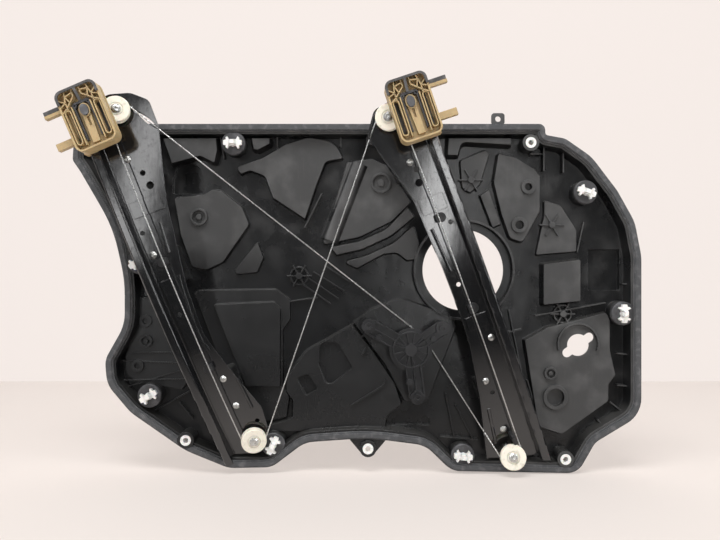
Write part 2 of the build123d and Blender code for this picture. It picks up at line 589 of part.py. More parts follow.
def panel_clip(x, z, turn):
    """A nylon clip: a head in its seat, a stem through the panel and a barbed nose."""
    base = post(0, 0, 6.8, 9, 12 - SEAT_GAP) + post(0, 0, CLIP_HOLE - SEAT_GAP, 11, BACK + 4)
    nose = Polyline((-6.4, 3), (-6.4, 1.5), (-3, -9), (3, -9), (6.4, 1.5), (6.4, 3), (4, 9.5), (-4, 9.5), close=True)
    fin = extrude(Plane(origin=(0, 0, 0), x_dir=(1, 0, 0), z_dir=(0, 0, 1)) * make_face(nose), amount=2.5, both=True)
    cross = extrude(Plane(origin=(0, 0, 0), x_dir=(0, 0, 1), z_dir=(-1, 0, 0)) *
                    make_face(Polyline((-5, 9.5), (-5, 2), (-2.5, -6), (2.5, -6), (5, 2), (5, 9.5), close=True)),
                    amount=1.5, both=True)
    washer = post(0, 0, 8, BACK + SEAT_GAP, BACK + 2.5)
    body = base + fin + cross + washer
    return Pos(x, 0, z) * Rot(0, turn, 0) * body


save("panel_clips", *[panel_clip(x, z, turn) for (x, z), turn in zip(CLIPS, CLIP_TURNS)])

# ---------------------------------------------------------------- rails and what is riveted to them

GUIDE_EDGE = -34.0           # where the guide lip ends; the flared side is positive
RISER = -22.0                # foot of the wall that lifts the guide lip


def flip(corners, side):
    """A blank's corners with w across and q downwards, for the left or the mirrored right rail."""
    return [(side * w, -q, r) for w, q, r in corners]


def web_pad(mid_x, side, pattern, q_top, q_bottom):
    """A shallow raised field across the web."""
    band = bent(mid_x, Pos(side * 20, -WEB_DEPTH + 0.6) * Rectangle(74, 1.2), q_top, q_bottom)
    return band & blank(mid_x, outline(shrunk(pattern, 5)))


STRAIGHT_RUNS = [(top_left.leave, first_touch), (low_left.leave, top_right.leave), (low_right.leave, last_touch)]
PASSAGE = 3.0                # radius kept free round the straight runs of the cables
RIM_ROOM = 0.4               # free behind the rim of a top pulley
FOOT_GAP = 4.5               # from the tray wall's mouth to the foot of a rail


def passages():
    """The room that the straight runs of cable need through the edges of the rails."""
    return [Solid.make_cylinder(PASSAGE, (end - start).length, Plane(origin=start, z_dir=end - start))
            for start, end in STRAIGHT_RUNS]


def rim_reliefs():
    """The shallow scoops in the webs that the tilted top pulleys turn in."""
    scoop = Pos(0, 0, -PULLEY_WIDTH / 2 - RIM_ROOM) * Solid.make_cylinder(PULLEY_RADIUS + 1, PULLEY_WIDTH)
    return [turn.frame().location * scoop for turn in (top_left, top_right)]


def rail(mid_x, side, corners, holes, pads, beads, q_top, q_bottom):
    pattern = flip(corners, side)
    lip = LIP_LIFT
    web = -WEB_DEPTH - SHEET / 2
    points = [(GUIDE_EDGE, -1), (GUIDE_EDGE, lip), (GUIDE_EDGE + LIP_WIDTH, lip), (RISER, web), (70, web)]
    section = trace(FilletPolyline(*[(side * w, lift) for w, lift in points], radius=1.7), line_width=SHEET)
    whole = outline(pattern)
    body = bent(mid_x, section, q_top, q_bottom) & blank(mid_x, whole)
    band = bent(mid_x, Pos(side * 27, -WEB_DEPTH + FLANGE_RISE / 2 - 0.5) * Rectangle(84, FLANGE_RISE + 1), q_top, q_bottom)
    edge = band & blank(mid_x, whole - outline(shrunk(pattern, SHEET)))
    body = body.fuse(*edge.solids())
    for top, foot in pads:
        body = body.fuse(*web_pad(mid_x, side, pattern, top, foot).solids())
    for q_a, w_a, q_b, w_b in beads:
        start, end = (on_rail(mid_x, q, side * w, -WEB_DEPTH).origin for q, w in ((q_a, w_a), (q_b, w_b)))
        bead = Solid.make_cylinder(2.2, (end - start).length, Plane(origin=start, z_dir=end - start))
        body = body.fuse(*(bead - under(mid_x, -WEB_DEPTH - SHEET / 2, q_a - 20, q_b + 20)).solids())
    for q, w, radius in holes:
        body -= extrude(on_web(mid_x, q, side * w) * Circle(radius), amount=4, both=True)
    for row in RIVETS:
        if row[0] == mid_x:
            body -= extrude(on_web(*row) * Circle(RIVET_RADIUS + SEAT_GAP), amount=4, both=True)
    # the foot of the rail ends inside the tray wall
    inside = offset(outline(PANEL_EDGE), -TRAY_INSET - WALL - FOOT_GAP)
    border = slab(Rectangle(1600, 1600) - inside, -4, 40)
    seats = [post(x, z, CLIP_SEAT + WALL + 1, 8, 40) for x, z in CLIPS]
    return body.cut(border, *seats, *passages(), *rim_reliefs())


left_rail = rail(LEFT_MID_X, 1, LEFT_BLANK, LEFT_HOLES, [(-96, -75), (12, 118)],
                 [(-60, 12, -20, 8), (168, 26, 212, 28)], -250, 285)
right_rail = rail(RIGHT_MID_X, -1, RIGHT_BLANK, RIGHT_HOLES, [(-100, -79), (66, 84)],
                  [(194, 22, 245, 28), (-60, 12, 0, 8)], -245, 310)
save("left_rail", left_rail)
save("right_rail", right_rail)


def rivet(mid_x, q, w):
    """A rivet from the web down into its pylon, with a domed head and a pulled centre."""
    shank = Circle(RIVET_RADIUS)
    plane = on_web(mid_x, q, w)
    dome = Plane.XZ * make_face(Polyline((0, 0.1), (RIVET_HEAD, 0.1), (RIVET_HEAD, 0.8), (RIVET_HEAD - 1.4, 2.2),
                                         (1.6, 2.8), (1.4, 1.6), (0, 1.6), close=True))
    return extrude(plane * shank, amount=-SHEET - RIVET_DEPTH) + plane.location * revolve(dome, Axis.Z) \
        + extrude(plane * Circle(RIVET_RADIUS), amount=0.2)


save("rail_rivets", *[rivet(*row) for row in RIVETS])


SADDLE_DROP = 2.6            # top of a saddle below the cable line, clear of the nipples


def saddle(mid_x, q, w):
    """A clip on the web that carries the slack of the cable."""
    foot = on_rail(mid_x, q, w, -WEB_DEPTH + SEAT_GAP)
    seat = on_rail(mid_x, q, 0, -WEB_DEPTH + SEAT_GAP)
    return extrude(foot * Circle(6.5), amount=3) + extrude(seat * RectangleRounded(7, 10, 1.5), amount=WEB_DEPTH - SADDLE_DROP)


def hook_guide():
    """The guide that bends the right cable into the plane of its low pulley."""
    base = on_rail(RIGHT_MID_X, RIGHT_GUIDE + bend_reach, 0, -WEB_DEPTH + SEAT_GAP)
    block = extrude(base * RectangleRounded(15, 11, 2), amount=WEB_DEPTH + 7)
    channel = extrude(base * Rectangle(5.4, 20), amount=40)
    inward = square_to(heading, along(RIGHT_GUIDE))
    centre = guide_point + inward * GUIDE_BEND
    axis = along(RIGHT_GUIDE).cross(inward)
    nose = extrude(Plane(origin=centre, z_dir=axis) * Circle(GUIDE_BEND - CABLE_RADIUS - CLEARANCE), amount=3.2, both=True)
    return (block - channel) + (nose & block)


save("cable_guides", saddle(LEFT_MID_X, -11, -4), saddle(RIGHT_MID_X, 55.6, 4), saddle(LEFT_MID_X, 140, -4),
     saddle(RIGHT_MID_X, -70, 4), hook_guide())

# ---------------------------------------------------------------- pulleys

PULLEYS = {
    "top_left": (top_left, LEFT_MID_X, TOP_END), "top_right": (top_right, RIGHT_MID_X, TOP_END),
    "bottom_left": (low_left, LEFT_MID_X, LEFT_END), "bottom_right": (low_right, RIGHT_MID_X, 264.0),
}
GROOVE_RADIUS = PULLEY_PITCH - CABLE_RADIUS - 0.35
GROOVE_HALF = CABLE_RADIUS + CLEARANCE


def make_pulley():
    half = PULLEY_WIDTH / 2
    profile = Polyline(
        (AXLE_RADIUS + RUNNING_GAP, -half), (PULLEY_RADIUS, -half), (PULLEY_RADIUS, -2.6), (GROOVE_RADIUS, -GROOVE_HALF),
        (GROOVE_RADIUS, GROOVE_HALF), (PULLEY_RADIUS, 2.6), (PULLEY_RADIUS, half - 0.8), (PULLEY_RADIUS - 0.8, half),
        (8.6, half), (8.6, half - 1.2), (7.9, half - 1.2), (7.9, half), (AXLE_RADIUS + RUNNING_GAP, half), close=True)
    return revolve(Plane.XZ * make_face(profile), Axis.Z)


def make_axle(turn, mid_x, q):
    """A shouldered axle: a boss off the rail's web, the journal and a riveted head."""
    half = PULLEY_WIDTH / 2
    journal = extrude(Circle(AXLE_RADIUS), amount=half + 1, both=True)
    boss = Pos(0, 0, -half - CLEARANCE - 40) * extrude(Circle(7.5), amount=40)
    head = revolve(Plane.XZ * make_face(Polyline((0, half + CLEARANCE), (6, half + CLEARANCE), (6, half + 1.2),
                                                 (4.2, half + 2.6), (2.2, half + 3.0), (1.8, half + 1.8),
                                                 (0, half + 1.8), close=True)), Axis.Z)
    whole = turn.frame().location * (journal + boss + head)
    return whole - under(mid_x, -WEB_DEPTH + SEAT_GAP, q - 60, q + 60)


for name, (turn, _, _) in PULLEYS.items():
    save(f"{name}_pulley", turn.frame().location * make_pulley())
save("pulley_axles", *[make_axle(*row) for row in PULLEYS.values()])

# ---------------------------------------------------------------- drum, its housing and the worm drive

drum_place = front(0).location * Pos(DRUM_X, DRUM_Z, 0)      # here z is the depth, turned towards the viewer


def turned(points, place=drum_place):
    """A solid turned from a profile of (radius, depth) points."""
    return place * revolve(Plane.XZ * make_face(Polyline(*[(r, -y) for r, y in points], close=True)), Axis.Z)


def disc(radius, near, far):
    return turned([(0, near), (radius, near), (radius, far), (0, far)])


LAND = DRUM_PITCH - CABLE_RADIUS - 0.35
WINDINGS_Y = [9.3, 11.1]
drum = turned([
    (SHAFT_RADIUS + SEAT_GAP, 4.5), (7, 4.5), (7, 9), (20, 9), (20, DRUM_FRONT), (DRUM_PITCH + 1, DRUM_FRONT),
    (DRUM_PITCH + 1, 4.5), (LAND, 4.8), (LAND, 8.2), (LAND + 0.4, 8.3), (LAND, 8.4), (LAND, 12.1), (LAND + 0.4, 12.2),
    (LAND, 12.3), (LAND, 16.4), (DRUM_PITCH + 1, 16.6), (DRUM_PITCH + 1, DRUM_BACK), (SHAFT_RADIUS + SEAT_GAP, DRUM_BACK)])
for turn_angle in range(0, 360, 60):
    spoke = Rot(0, 0, turn_angle) * Pos(13.5, 0, -20) * extrude(RectangleRounded(9, 6, 1.5), amount=25)
    drum -= drum_place * spoke
save("cable_drum", drum)
save("drum_windings", *[drum_place * Pos(0, 0, -y) * Torus(DRUM_PITCH, CABLE_RADIUS) for y in WINDINGS_Y])
save("output_shaft", disc(SHAFT_RADIUS, -2.5, GEARBOX_BACK + 1.5))


def arm(x, z, near, far, width):
    """A bar from the drum's axis to a fixing."""
    length = math.hypot(x - DRUM_X, z - DRUM_Z)
    angle = math.degrees(math.atan2(z - DRUM_Z, x - DRUM_X))
    shape = Pos(DRUM_X, DRUM_Z) * Rot(0, 0, angle) * Pos(length / 2, 0) * Rectangle(length, width)
    return slab(shape, near, far)


HOUSING_BACK = 2.7           # back of the spider plate, in front of the drum
HOUSING_FRONT = 0.2
SPIDER_CREST = -4.5
spider = disc(29, HOUSING_FRONT, HOUSING_BACK)
crest_ring = disc(25, SPIDER_CREST, HOUSING_FRONT + 0.5) - disc(23, SPIDER_CREST - 1, HOUSING_FRONT + 1)
hub = disc(8.5, SPIDER_CREST - 1, 3.2)
pieces = [crest_ring, hub]
for x, z in HOUSING_SCREWS:
    angle = math.atan2(z - DRUM_Z, x - DRUM_X)
    plate = arm(x, z, HOUSING_FRONT, HOUSING_BACK, 22)
    sides = [arm(x, z, SPIDER_CREST + 1, HOUSING_FRONT + 0.5, 22) - arm(x, z, SPIDER_CREST, HOUSING_BACK, 18)]
    spine = arm(x, z, SPIDER_CREST + 1, HOUSING_FRONT + 0.5, RIB)
    pieces += [plate, spine, post(x, z, 9.5, -4, DRUM_SEAT - SEAT_GAP)]
    pieces += [side - disc(24, -10, 10) for side in sides]
for x, z in HOUSING_PINS:
    pieces.append(post(x, z, 4.2, SPIDER_CREST - 1.5, HOUSING_BACK))
for step in range(12):
    angle = math.radians(30 * step + 15)
    inner = DRUM_X + 8 * math.cos(angle), DRUM_Z + 8 * math.sin(angle)
    outer = DRUM_X + 24 * math.cos(angle), DRUM_Z + 24 * math.sin(angle)
    pieces.append(rib([inner, outer], SPIDER_CREST + 1, HOUSING_FRONT + 0.5))
skirt = slab(Pos(DRUM_X, DRUM_Z) * (Circle(29.5) - Circle(27.5)), HOUSING_FRONT, DRUM_SEAT - SEAT_GAP)
skirt_side = Pos(DRUM_X, DRUM_Z) * Rot(0, 0, 205) * Pos(40, 0) * Rectangle(80, 46)
pieces.append(skirt & slab(skirt_side, -5, 30))
spider = spider.fuse(*[s for piece in pieces for s in piece.solids()])
spider -= disc(SHAFT_RADIUS + RUNNING_GAP, -3, 10)
for x, z in HOUSING_SCREWS:
    spider -= post(x, z, SCREW_RADIUS + SEAT_GAP, -10, 30)
save("drum_housing", spider)

SCREW_HEAD, SCREW_HEAD_HEIGHT = 5.0, 3.2
SCREW_END = 40.0


def housing_screw(x, z):
    drive = RegularPolygon(2.4, 6)
    body = post(x, z, SCREW_RADIUS, -4 - SEAT_GAP, SCREW_END) + post(x, z, SCREW_HEAD, -4 - SEAT_GAP - SCREW_HEAD_HEIGHT, -4 - SEAT_GAP)
    return body - slab(Pos(x, z) * drive, -8, -5.4)


save("housing_screws", *[housing_screw(x, z) for x, z in HOUSING_SCREWS])

# worm wheel with its rubber damper
WHEEL_RADIUS = WHEEL_TEETH * GEAR_MODULE / 2
WORM_Z = DRUM_Z - WHEEL_RADIUS - WORM_PITCH_RADIUS
PITCH = math.pi * GEAR_MODULE
LEAD_ANGLE = math.degrees(math.atan(PITCH / (2 * math.pi * WORM_PITCH_RADIUS)))
FLANK = math.tan(math.radians(20))


def tooth_face():
    """One tooth of the wheel, pointing along +x, with straight flanks."""
    tip, root = TOOTH / 2 - ADDENDUM * FLANK, TOOTH / 2 + DEDENDUM * FLANK
    low, high = WHEEL_RADIUS - DEDENDUM - 0.4, WHEEL_RADIUS + ADDENDUM
    return make_face(Polyline((low, -root), (high, -tip), (high, tip), (low, root), close=True))


slant = WHEEL_WIDTH / 2 * math.tan(math.radians(LEAD_ANGLE))
rim_radius = WHEEL_RADIUS - DEDENDUM
wheel = turned([
    (SHAFT_RADIUS + SEAT_GAP, GEAR_Y - 6), (9, GEAR_Y - 6), (9, GEAR_Y + 1), (24, GEAR_Y + 1), (24, GEAR_Y - 4),
    (rim_radius, GEAR_Y - 4), (rim_radius, GEAR_Y + 4), (SHAFT_RADIUS + SEAT_GAP, GEAR_Y + 4)])
slant_angle = math.degrees(slant / WHEEL_RADIUS)
tooth = Solid.make_loft([
    (Pos(0, 0, -GEAR_Y - WHEEL_WIDTH / 2) * Rot(0, 0, -slant_angle) * tooth_face()).face().outer_wire(),
    (Pos(0, 0, -GEAR_Y + WHEEL_WIDTH / 2) * Rot(0, 0, slant_angle) * tooth_face()).face().outer_wire()], ruled=True)
teeth = [drum_place * Rot(0, 0, 360 / WHEEL_TEETH * i - 90) * tooth for i in range(WHEEL_TEETH)]
save("worm_wheel", wheel.fuse(*teeth))
damper = turned([(9.3, GEAR_Y - 4), (23.7, GEAR_Y - 4), (23.7, GEAR_Y + 0.7), (9.3, GEAR_Y + 0.7)])
for turn_angle in (0, 120, 240):
    damper -= drum_place * Rot(0, 0, turn_angle) * Pos(18, 0, -GEAR_Y - 0.5) * extrude(Rectangle(14, 5), amount=10)
save("wheel_damper", damper)

# gearbox and motor: here z runs along the armature, from the gearbox into the motor
def along_motor(x):
    return Plane(origin=(x, GEAR_Y, WORM_Z), x_dir=(0, 0, 1), z_dir=(-1, 0, 0))


def barrel(radius, x_from, x_to, inner=0):
    """A round bar or tube on the armature's axis, between two places along x."""
    shape = Circle(radius) - Circle(inner) if inner else Circle(radius)
    return extrude(along_motor(x_to) * shape, amount=x_to - x_from)


WORM_FROM, WORM_TO = DRUM_X - 12, DRUM_X + 12
TUBE_END = DRUM_X + 24
COVER_SCREWS = [(DRUM_X + 37 * math.cos(math.radians(a)), DRUM_Z + 37 * math.sin(math.radians(a))) for a in (15, 90, 165)]
gearbox = disc(GEARBOX_RADIUS, BACK + SEAT_GAP, GEARBOX_BACK)
bearing_box = Box(14, 2 * MOTOR_FLAT, 2 * MOTOR_RADIUS)
solids = [barrel(10.5, MOTOR_MOUTH, TUBE_END), Pos(MOTOR_MOUTH + 7, GEAR_Y, WORM_Z) * bearing_box]
for x, z in HOUSING_SCREWS:
    solids += [arm(x, z, BACK + SEAT_GAP, BACK + 5, 14), arm(x, z, BACK + SEAT_GAP, BACK + 11, RIB),
               post(x, z, 7, BACK + SEAT_GAP, SCREW_END + 1)]
for x, z in COVER_SCREWS:
    solids.append(post(x, z, 4, BACK + 8, GEARBOX_BACK))
MOTOR_EARS = [WORM_Z - MOTOR_RADIUS - 4, WORM_Z + MOTOR_RADIUS + 4]
for z in MOTOR_EARS:
    ear = Plane(origin=(MOTOR_MOUTH + 6, GEAR_Y, z), z_dir=(-1, 0, 0))
    solids.append(extrude(ear * Circle(4.5), amount=6))
    solids.append(Pos(MOTOR_MOUTH + 3, GEAR_Y, (z * 3 + WORM_Z) / 4) * Box(6, 7, 12))
gearbox = gearbox.fuse(*[s for shape in solids for s in shape.solids()])
gearbox -= disc(GEARBOX_RADIUS - GEARBOX_WALL, BACK + 3, GEARBOX_BACK + 1)
gearbox -= barrel(7, WORM_FROM - 2, WORM_TO + 2)
gearbox -= barrel(5 + SEAT_GAP, MOTOR_MOUTH - 1, TUBE_END - 2.5)
gearbox -= barrel(12.5, MOTOR_MOUTH - 1, MOTOR_MOUTH + 11)
gearbox -= disc(SHAFT_RADIUS + 1, 20, GEARBOX_BACK)
gearbox -= disc(15.2, 20, BACK + 1.6) - disc(12, 20, BACK + 2)
for x, z in HOUSING_SCREWS:
    gearbox -= post(x, z, SCREW_RADIUS + SEAT_GAP, 20, SCREW_END)
for x, z in COVER_SCREWS:
    gearbox -= post(x, z, 1.4 + SEAT_GAP, GEARBOX_BACK - 9, GEARBOX_BACK + 1)
for z in MOTOR_EARS:
    gearbox -= extrude(Plane(origin=(MOTOR_MOUTH + 5, GEAR_Y, z), z_dir=(-1, 0, 0)) * Circle(1.6 + SEAT_GAP), amount=6)
save("gearbox_housing", gearbox)
save("motor_seal", disc(15.1, BACK + SEAT_GAP, BACK + 1.5) - disc(12.1, 20, BACK + 3))

cover = disc(GEARBOX_RADIUS, GEARBOX_BACK + SEAT_GAP, GEARBOX_BACK + COVER) + disc(9, GEARBOX_BACK + SEAT_GAP, GEARBOX_BACK + 4)
for x, z in COVER_SCREWS:
    cover += post(x, z, 4, GEARBOX_BACK + SEAT_GAP, GEARBOX_BACK + COVER)
for step in range(6):
    angle = math.radians(60 * step + 15)
    if math.sin(angle) > -0.6:
        cover += rib([(DRUM_X + 7 * math.cos(angle), DRUM_Z + 7 * math.sin(angle)),
                      (DRUM_X + 32 * math.cos(angle), DRUM_Z + 32 * math.sin(angle))],
                     GEARBOX_BACK + 1, GEARBOX_BACK + 4)
cover -= barrel(10.5 + CLEARANCE, MOTOR_MOUTH - 20, TUBE_END + 20)
cover -= Pos(MOTOR_MOUTH + 7, GEAR_Y, WORM_Z) * Box(14 + 2 * CLEARANCE, 30, 2 * (MOTOR_RADIUS + CLEARANCE))
cover -= disc(SHAFT_RADIUS + RUNNING_GAP, GEARBOX_BACK - 1, GEARBOX_BACK + 2)
for x, z in COVER_SCREWS:
    cover -= post(x, z, 1.4 + SEAT_GAP, GEARBOX_BACK - 1, GEARBOX_BACK + 5)
save("gearbox_cover", *[s for s in cover.solids() if s.volume > 100])
save("cover_screws", *[post(x, z, 1.4, GEARBOX_BACK - 8, GEARBOX_BACK + COVER + 0.2)
                       + post(x, z, 3, GEARBOX_BACK + COVER + SEAT_GAP, GEARBOX_BACK + COVER + 2.4) for x, z in COVER_SCREWS])


def flattened(radius, flat):
    return Circle(radius) & Rectangle(2 * radius, 2 * flat)


MOTOR_END = MOTOR_MOUTH - MOTOR_LENGTH
can = extrude(along_motor(MOTOR_MOUTH - SEAT_GAP) * flattened(MOTOR_RADIUS, MOTOR_FLAT), amount=MOTOR_LENGTH)
can += barrel(6.5, MOTOR_END - 4, MOTOR_END + 1)
for z in MOTOR_EARS:
    ear = Plane(origin=(MOTOR_MOUTH - SEAT_GAP, GEAR_Y, z), z_dir=(-1, 0, 0))
    can += extrude(ear * Circle(4.5), amount=2)
    can += Pos(MOTOR_MOUTH - SEAT_GAP - 1, GEAR_Y, (z * 3 + WORM_Z) / 4) * Box(2, 9, 12)
can -= extrude(along_motor(MOTOR_MOUTH + 1) * flattened(MOTOR_RADIUS - CAN_WALL, MOTOR_FLAT - CAN_WALL), amount=MOTOR_LENGTH - 1)
can -= barrel(5 + SEAT_GAP, MOTOR_END - 3, MOTOR_END + 5)
for z in MOTOR_EARS:
    can -= extrude(Plane(origin=(MOTOR_MOUTH + 1, GEAR_Y, z), z_dir=(-1, 0, 0)) * Circle(1.6 + SEAT_GAP), amount=6)
save("motor_can", can)


def motor_screw(z):
    head = Plane(origin=(MOTOR_MOUTH - 2 - 2 * SEAT_GAP, GEAR_Y, z), z_dir=(-1, 0, 0))
    shank = extrude(head * Circle(1.6), amount=-6.6)
    return shank + extrude(head * Circle(3.2), amount=2.4)


save("motor_screws", *[motor_screw(z) for z in MOTOR_EARS])

CORE_RADIUS = 10.5
CORE_FROM, CORE_TO = MOTOR_END + 12, MOTOR_MOUTH - 8
magnet_face = (Circle(MOTOR_RADIUS - CAN_WALL - SEAT_GAP) - Circle(CORE_RADIUS + 1.2)) & Rectangle(18, 2 * (MOTOR_FLAT - CAN_WALL - SEAT_GAP))
magnet_sides = []
for sign in (1, -1):
    arc = (Circle(MOTOR_RADIUS - CAN_WALL - SEAT_GAP) - Circle(CORE_RADIUS + 1.0)) & (Pos(sign * 10, 0) * Rectangle(12, 20))
    magnet_sides.append(extrude(along_motor(CORE_TO + 1) * arc, amount=CORE_TO - CORE_FROM + 2))
save("motor_magnets", *magnet_sides)

core_face = Circle(CORE_RADIUS) - Circle(ARMATURE_SHAFT_RADIUS + SEAT_GAP)
for step in range(8):
    core_face -= Rot(0, 0, 45 * step) * Pos(8.5, 0) * RectangleRounded(5, 3.4, 1)
    core_face -= Rot(0, 0, 45 * step) * Pos(10.5, 0) * Rectangle(3, 1)
save("armature_core", extrude(along_motor(CORE_TO) * core_face, amount=CORE_TO - CORE_FROM))
coils = []
for start in (CORE_TO + SEAT_GAP, CORE_FROM - 4 - SEAT_GAP):
    coils.append(barrel(9.5, start, start + 4, 4))
for step in range(8):
    bar = Rot(0, 0, 45 * step) * Pos(8.5, 0) * RectangleRounded(4.6, 3.0, 0.8)
    coils.append(extrude(along_motor(CORE_TO - 0.3) * bar, amount=CORE_TO - CORE_FROM - 0.6))
save("armature_windings", *coils)
commutator = barrel(5.5, CORE_TO + 5.5, MOTOR_MOUTH + 6, ARMATURE_SHAFT_RADIUS + SEAT_GAP)
for step in range(8):
    notch = Rot(0, 0, 45 * step) * Pos(5.5, 0) * Rectangle(2, 0.5)
    commutator -= extrude(along_motor(MOTOR_MOUTH + 7) * notch, amount=12)
save("commutator", commutator)

BRUSH_X = MOTOR_MOUTH + 2.5
brushes, boxes = [], []
for sign in (1, -1):
    place = along_motor(BRUSH_X + 2.5)
    brushes.append(extrude(place * (Pos(sign * 8.4, 0) * Rectangle(5.2, 4)), amount=5))
    sleeve = (Pos(sign * 8.6, 0) * Rectangle(5.2, 6)) - (Pos(sign * 8.6, 0) * Rectangle(6, 4.2))
    boxes.append(extrude(along_motor(BRUSH_X + 3) * sleeve, amount=6))
plate = barrel(12.2, BRUSH_X - 5.5, BRUSH_X - 3.5, 6.3)
save("carbon_brushes", *brushes)
save("brush_holder", plate.fuse(*[s for b in boxes for s in (b + Pos(-0.6, 0, 0) * b).solids()]))

bearing_bore = ARMATURE_SHAFT_RADIUS + RUNNING_GAP
bearings = [barrel(5, MOTOR_MOUTH + 11.5, WORM_FROM - 2.2, bearing_bore), barrel(5, WORM_TO + 2.2, TUBE_END - 2.6, bearing_bore),
            barrel(5, MOTOR_END - 2.8, MOTOR_END + 3, bearing_bore)]
save("armature_bearings", *bearings)

shaft = barrel(ARMATURE_SHAFT_RADIUS, MOTOR_END - 2.6, TUBE_END - 2.8)
shaft += barrel(WORM_PITCH_RADIUS - DEDENDUM, WORM_FROM, WORM_TO)
worm_turns = 9                               # an odd number, so that a gap faces the wheel's lowest tooth
worm_length = worm_turns * PITCH
helix = Helix(pitch=PITCH, height=worm_length, radius=WORM_PITCH_RADIUS - DEDENDUM - 0.2)
thread_root, thread_tip = TOOTH / 2 + (DEDENDUM + 0.2) * FLANK, TOOTH / 2 - ADDENDUM * FLANK
thread_depth = ADDENDUM + DEDENDUM + 0.2
thread_face = make_face(Polyline((0, -thread_root), (thread_depth, -thread_tip), (thread_depth, thread_tip), (0, thread_root), close=True))
thread = sweep(Plane(origin=helix @ 0, x_dir=(1, 0, 0), z_dir=helix % 0) * thread_face, path=helix, is_frenet=True)
worm = Plane(origin=(DRUM_X - worm_length / 2, GEAR_Y, WORM_Z), x_dir=(0, 0, 1), z_dir=(1, 0, 0)).location * thread
save("armature_shaft", shaft + worm)

# connector below the worm tube
CONNECTOR_X, CONNECTOR_Y, CONNECTOR_TOP = 43.0, GEAR_Y - 2, WORM_Z - MOTOR_RADIUS - 0.2
cx, cy, cz = CONNECTOR_X, CONNECTOR_Y, CONNECTOR_TOP
shell = Pos(cx, cy, cz - 12) * Box(23, 17, 24)
shell += Pos(cx + 2.5, cy, cz + 3) * Box(15, 14, 8)
shell -= Pos(cx, cy, cz - 14) * Box(19, 13, 21)
shell += Pos(cx, cy - 9, cz - 16) * Box(8, 2, 8)
shell -= barrel(10.5 + SEAT_GAP, MOTOR_MOUTH, TUBE_END)
save("connector_housing", max(shell.solids(), key=lambda s: s.volume))
pins = [Pos(cx - 6 + 4 * i, cy + 2.5, cz - 9.8) * Box(1.4, 0.8, 12) for i in range(4)]
pins += [Pos(cx + sign * 5, cy - 3, cz - 9.8) * Box(4.4, 0.8, 12) for sign in (1, -1)]
save("connector_pins", *pins)

# ---------------------------------------------------------------- glass carriers
# Drawn for the left rail, with x across it (positive towards the flared side), y up it and z towards the
# glass; the right carrier is its mirror image.

CELL_WALL = 2.2
SLOT_BACK = CARRIER_BACK + CARRIER_PLATE
SLOT_FRONT = SLOT_BACK + GLASS_GAP
FACE = SLOT_FRONT + 2.0                      # front of the cell plate's floor
RIM_FRONT = CARRIER_FRONT
BRIDGE = 9.0                                 # height of the closed foot of the glass slot
BUTTON_PLACE = (1.0, 8.0)
PRONG_REACH = 25.0                           # of the side prongs beyond the carrier


def layer(sketch, low, high):
    return extrude(Pos(0, 0, low) * sketch, amount=high - low, dir=(0, 0, 1))


def shell_shape(inset=0.0):
    return RectangleRounded(CARRIER_WIDTH - 2 * inset, CARRIER_HEIGHT - 2 * inset, max(CARRIER_CORNER - inset, 1))


def wall_line(thickness, *points):
    return trace(Polyline(*points), line_width=thickness)


def carrier_cells():
    """The moulded cell box, centred on its own outline."""
    half_width, half_height = CARRIER_WIDTH / 2, CARRIER_HEIGHT / 2
    body = layer(shell_shape(), CARRIER_BACK, SLOT_BACK)
    foot = shell_shape() & (Pos(0, BRIDGE / 2 - half_height) * Rectangle(CARRIER_WIDTH, BRIDGE))
    body += layer(foot, SLOT_BACK - 0.5, SLOT_FRONT + 0.5)
    body += layer(shell_shape(), SLOT_FRONT, FACE)
    walls = layer(shell_shape() - shell_shape(CELL_WALL), FACE - 0.5, RIM_FRONT)
    parts = [walls]
    for side in (-1, 1):
        loop = Pos(side * (half_width - 7.5), -8) * Rot(0, 0, 90) * SlotOverall(46, 8.4)
        hole = Pos(side * (half_width - 7.5), -8) * Rot(0, 0, 90) * SlotOverall(43.2, 5.6)
        parts.append(layer(loop - hole, FACE - 0.5, RIM_FRONT - 1.5))
        body -= layer(hole, SLOT_FRONT - 1, FACE + 1)
        inner = wall_line(1.5, (side * (half_width - 1.5), 12), (side * (half_width - 9), 17), (side * 5, 28),
                          (side * 5, half_height - 1.5))
        outer = wall_line(1.3, (side * (half_width - 1.5), 20), (side * 17, 23.5), (side * 14, half_height - 1.5))
        web = wall_line(1.3, (side * 17, 14.5), (side * 17, 23.5), (side * (half_width - 1.5), 30))
        brace = wall_line(1.3, (side * 11, 22), (side * 15, 31), (side * 5, 33))
        for sketch in (inner, outer, web, brace):
            parts.append(layer(sketch & shell_shape(0.5), FACE - 0.5, RIM_FRONT - 0.8))
        parts.append(layer(wall_line(1.5, (side * 12.3, 16), (side * 12.3, -33)) & shell_shape(0.5), FACE - 0.5, RIM_FRONT - 3))
    tongue = make_face(Polyline((-5, -33), (4, -33), (6, 2), (-4.5, 2), close=True))
    bx, by = BUTTON_PLACE
    seat = Pos(bx, by) * Ellipse(6.6, 8.8)
    well = Pos(bx, by) * Ellipse(5.0 + CLEARANCE, 7.2 + CLEARANCE)
    parts.append(layer(tongue, FACE - 0.5, FACE + 4.5))
    parts.append(layer(seat, FACE - 0.5, RIM_FRONT - 2.5))
    # side prongs that locate the glass clamp
    for low, high in ((19.5, 23.6), (-23.0, -14.0)):
        bar = Pos(-half_width - PRONG_REACH / 2 + 1, (low + high) / 2) * Rectangle(PRONG_REACH + 2, high - low)
        parts.append(layer(bar, CARRIER_BACK, CARRIER_BACK + 7.5))
    body = body.fuse(*[s for part in parts for s in part.solids()])
    body -= layer(well, FACE + 0.5, RIM_FRONT + 1)
    body -= layer(Pos(1, -6) * Rectangle(3, 12), FACE + 1.5, FACE + 6)
    return body - Pos(0, half_height - 2, (SLOT_BACK + SLOT_FRONT) / 2) * Box(20, 20, GLASS_GAP - 0.01)


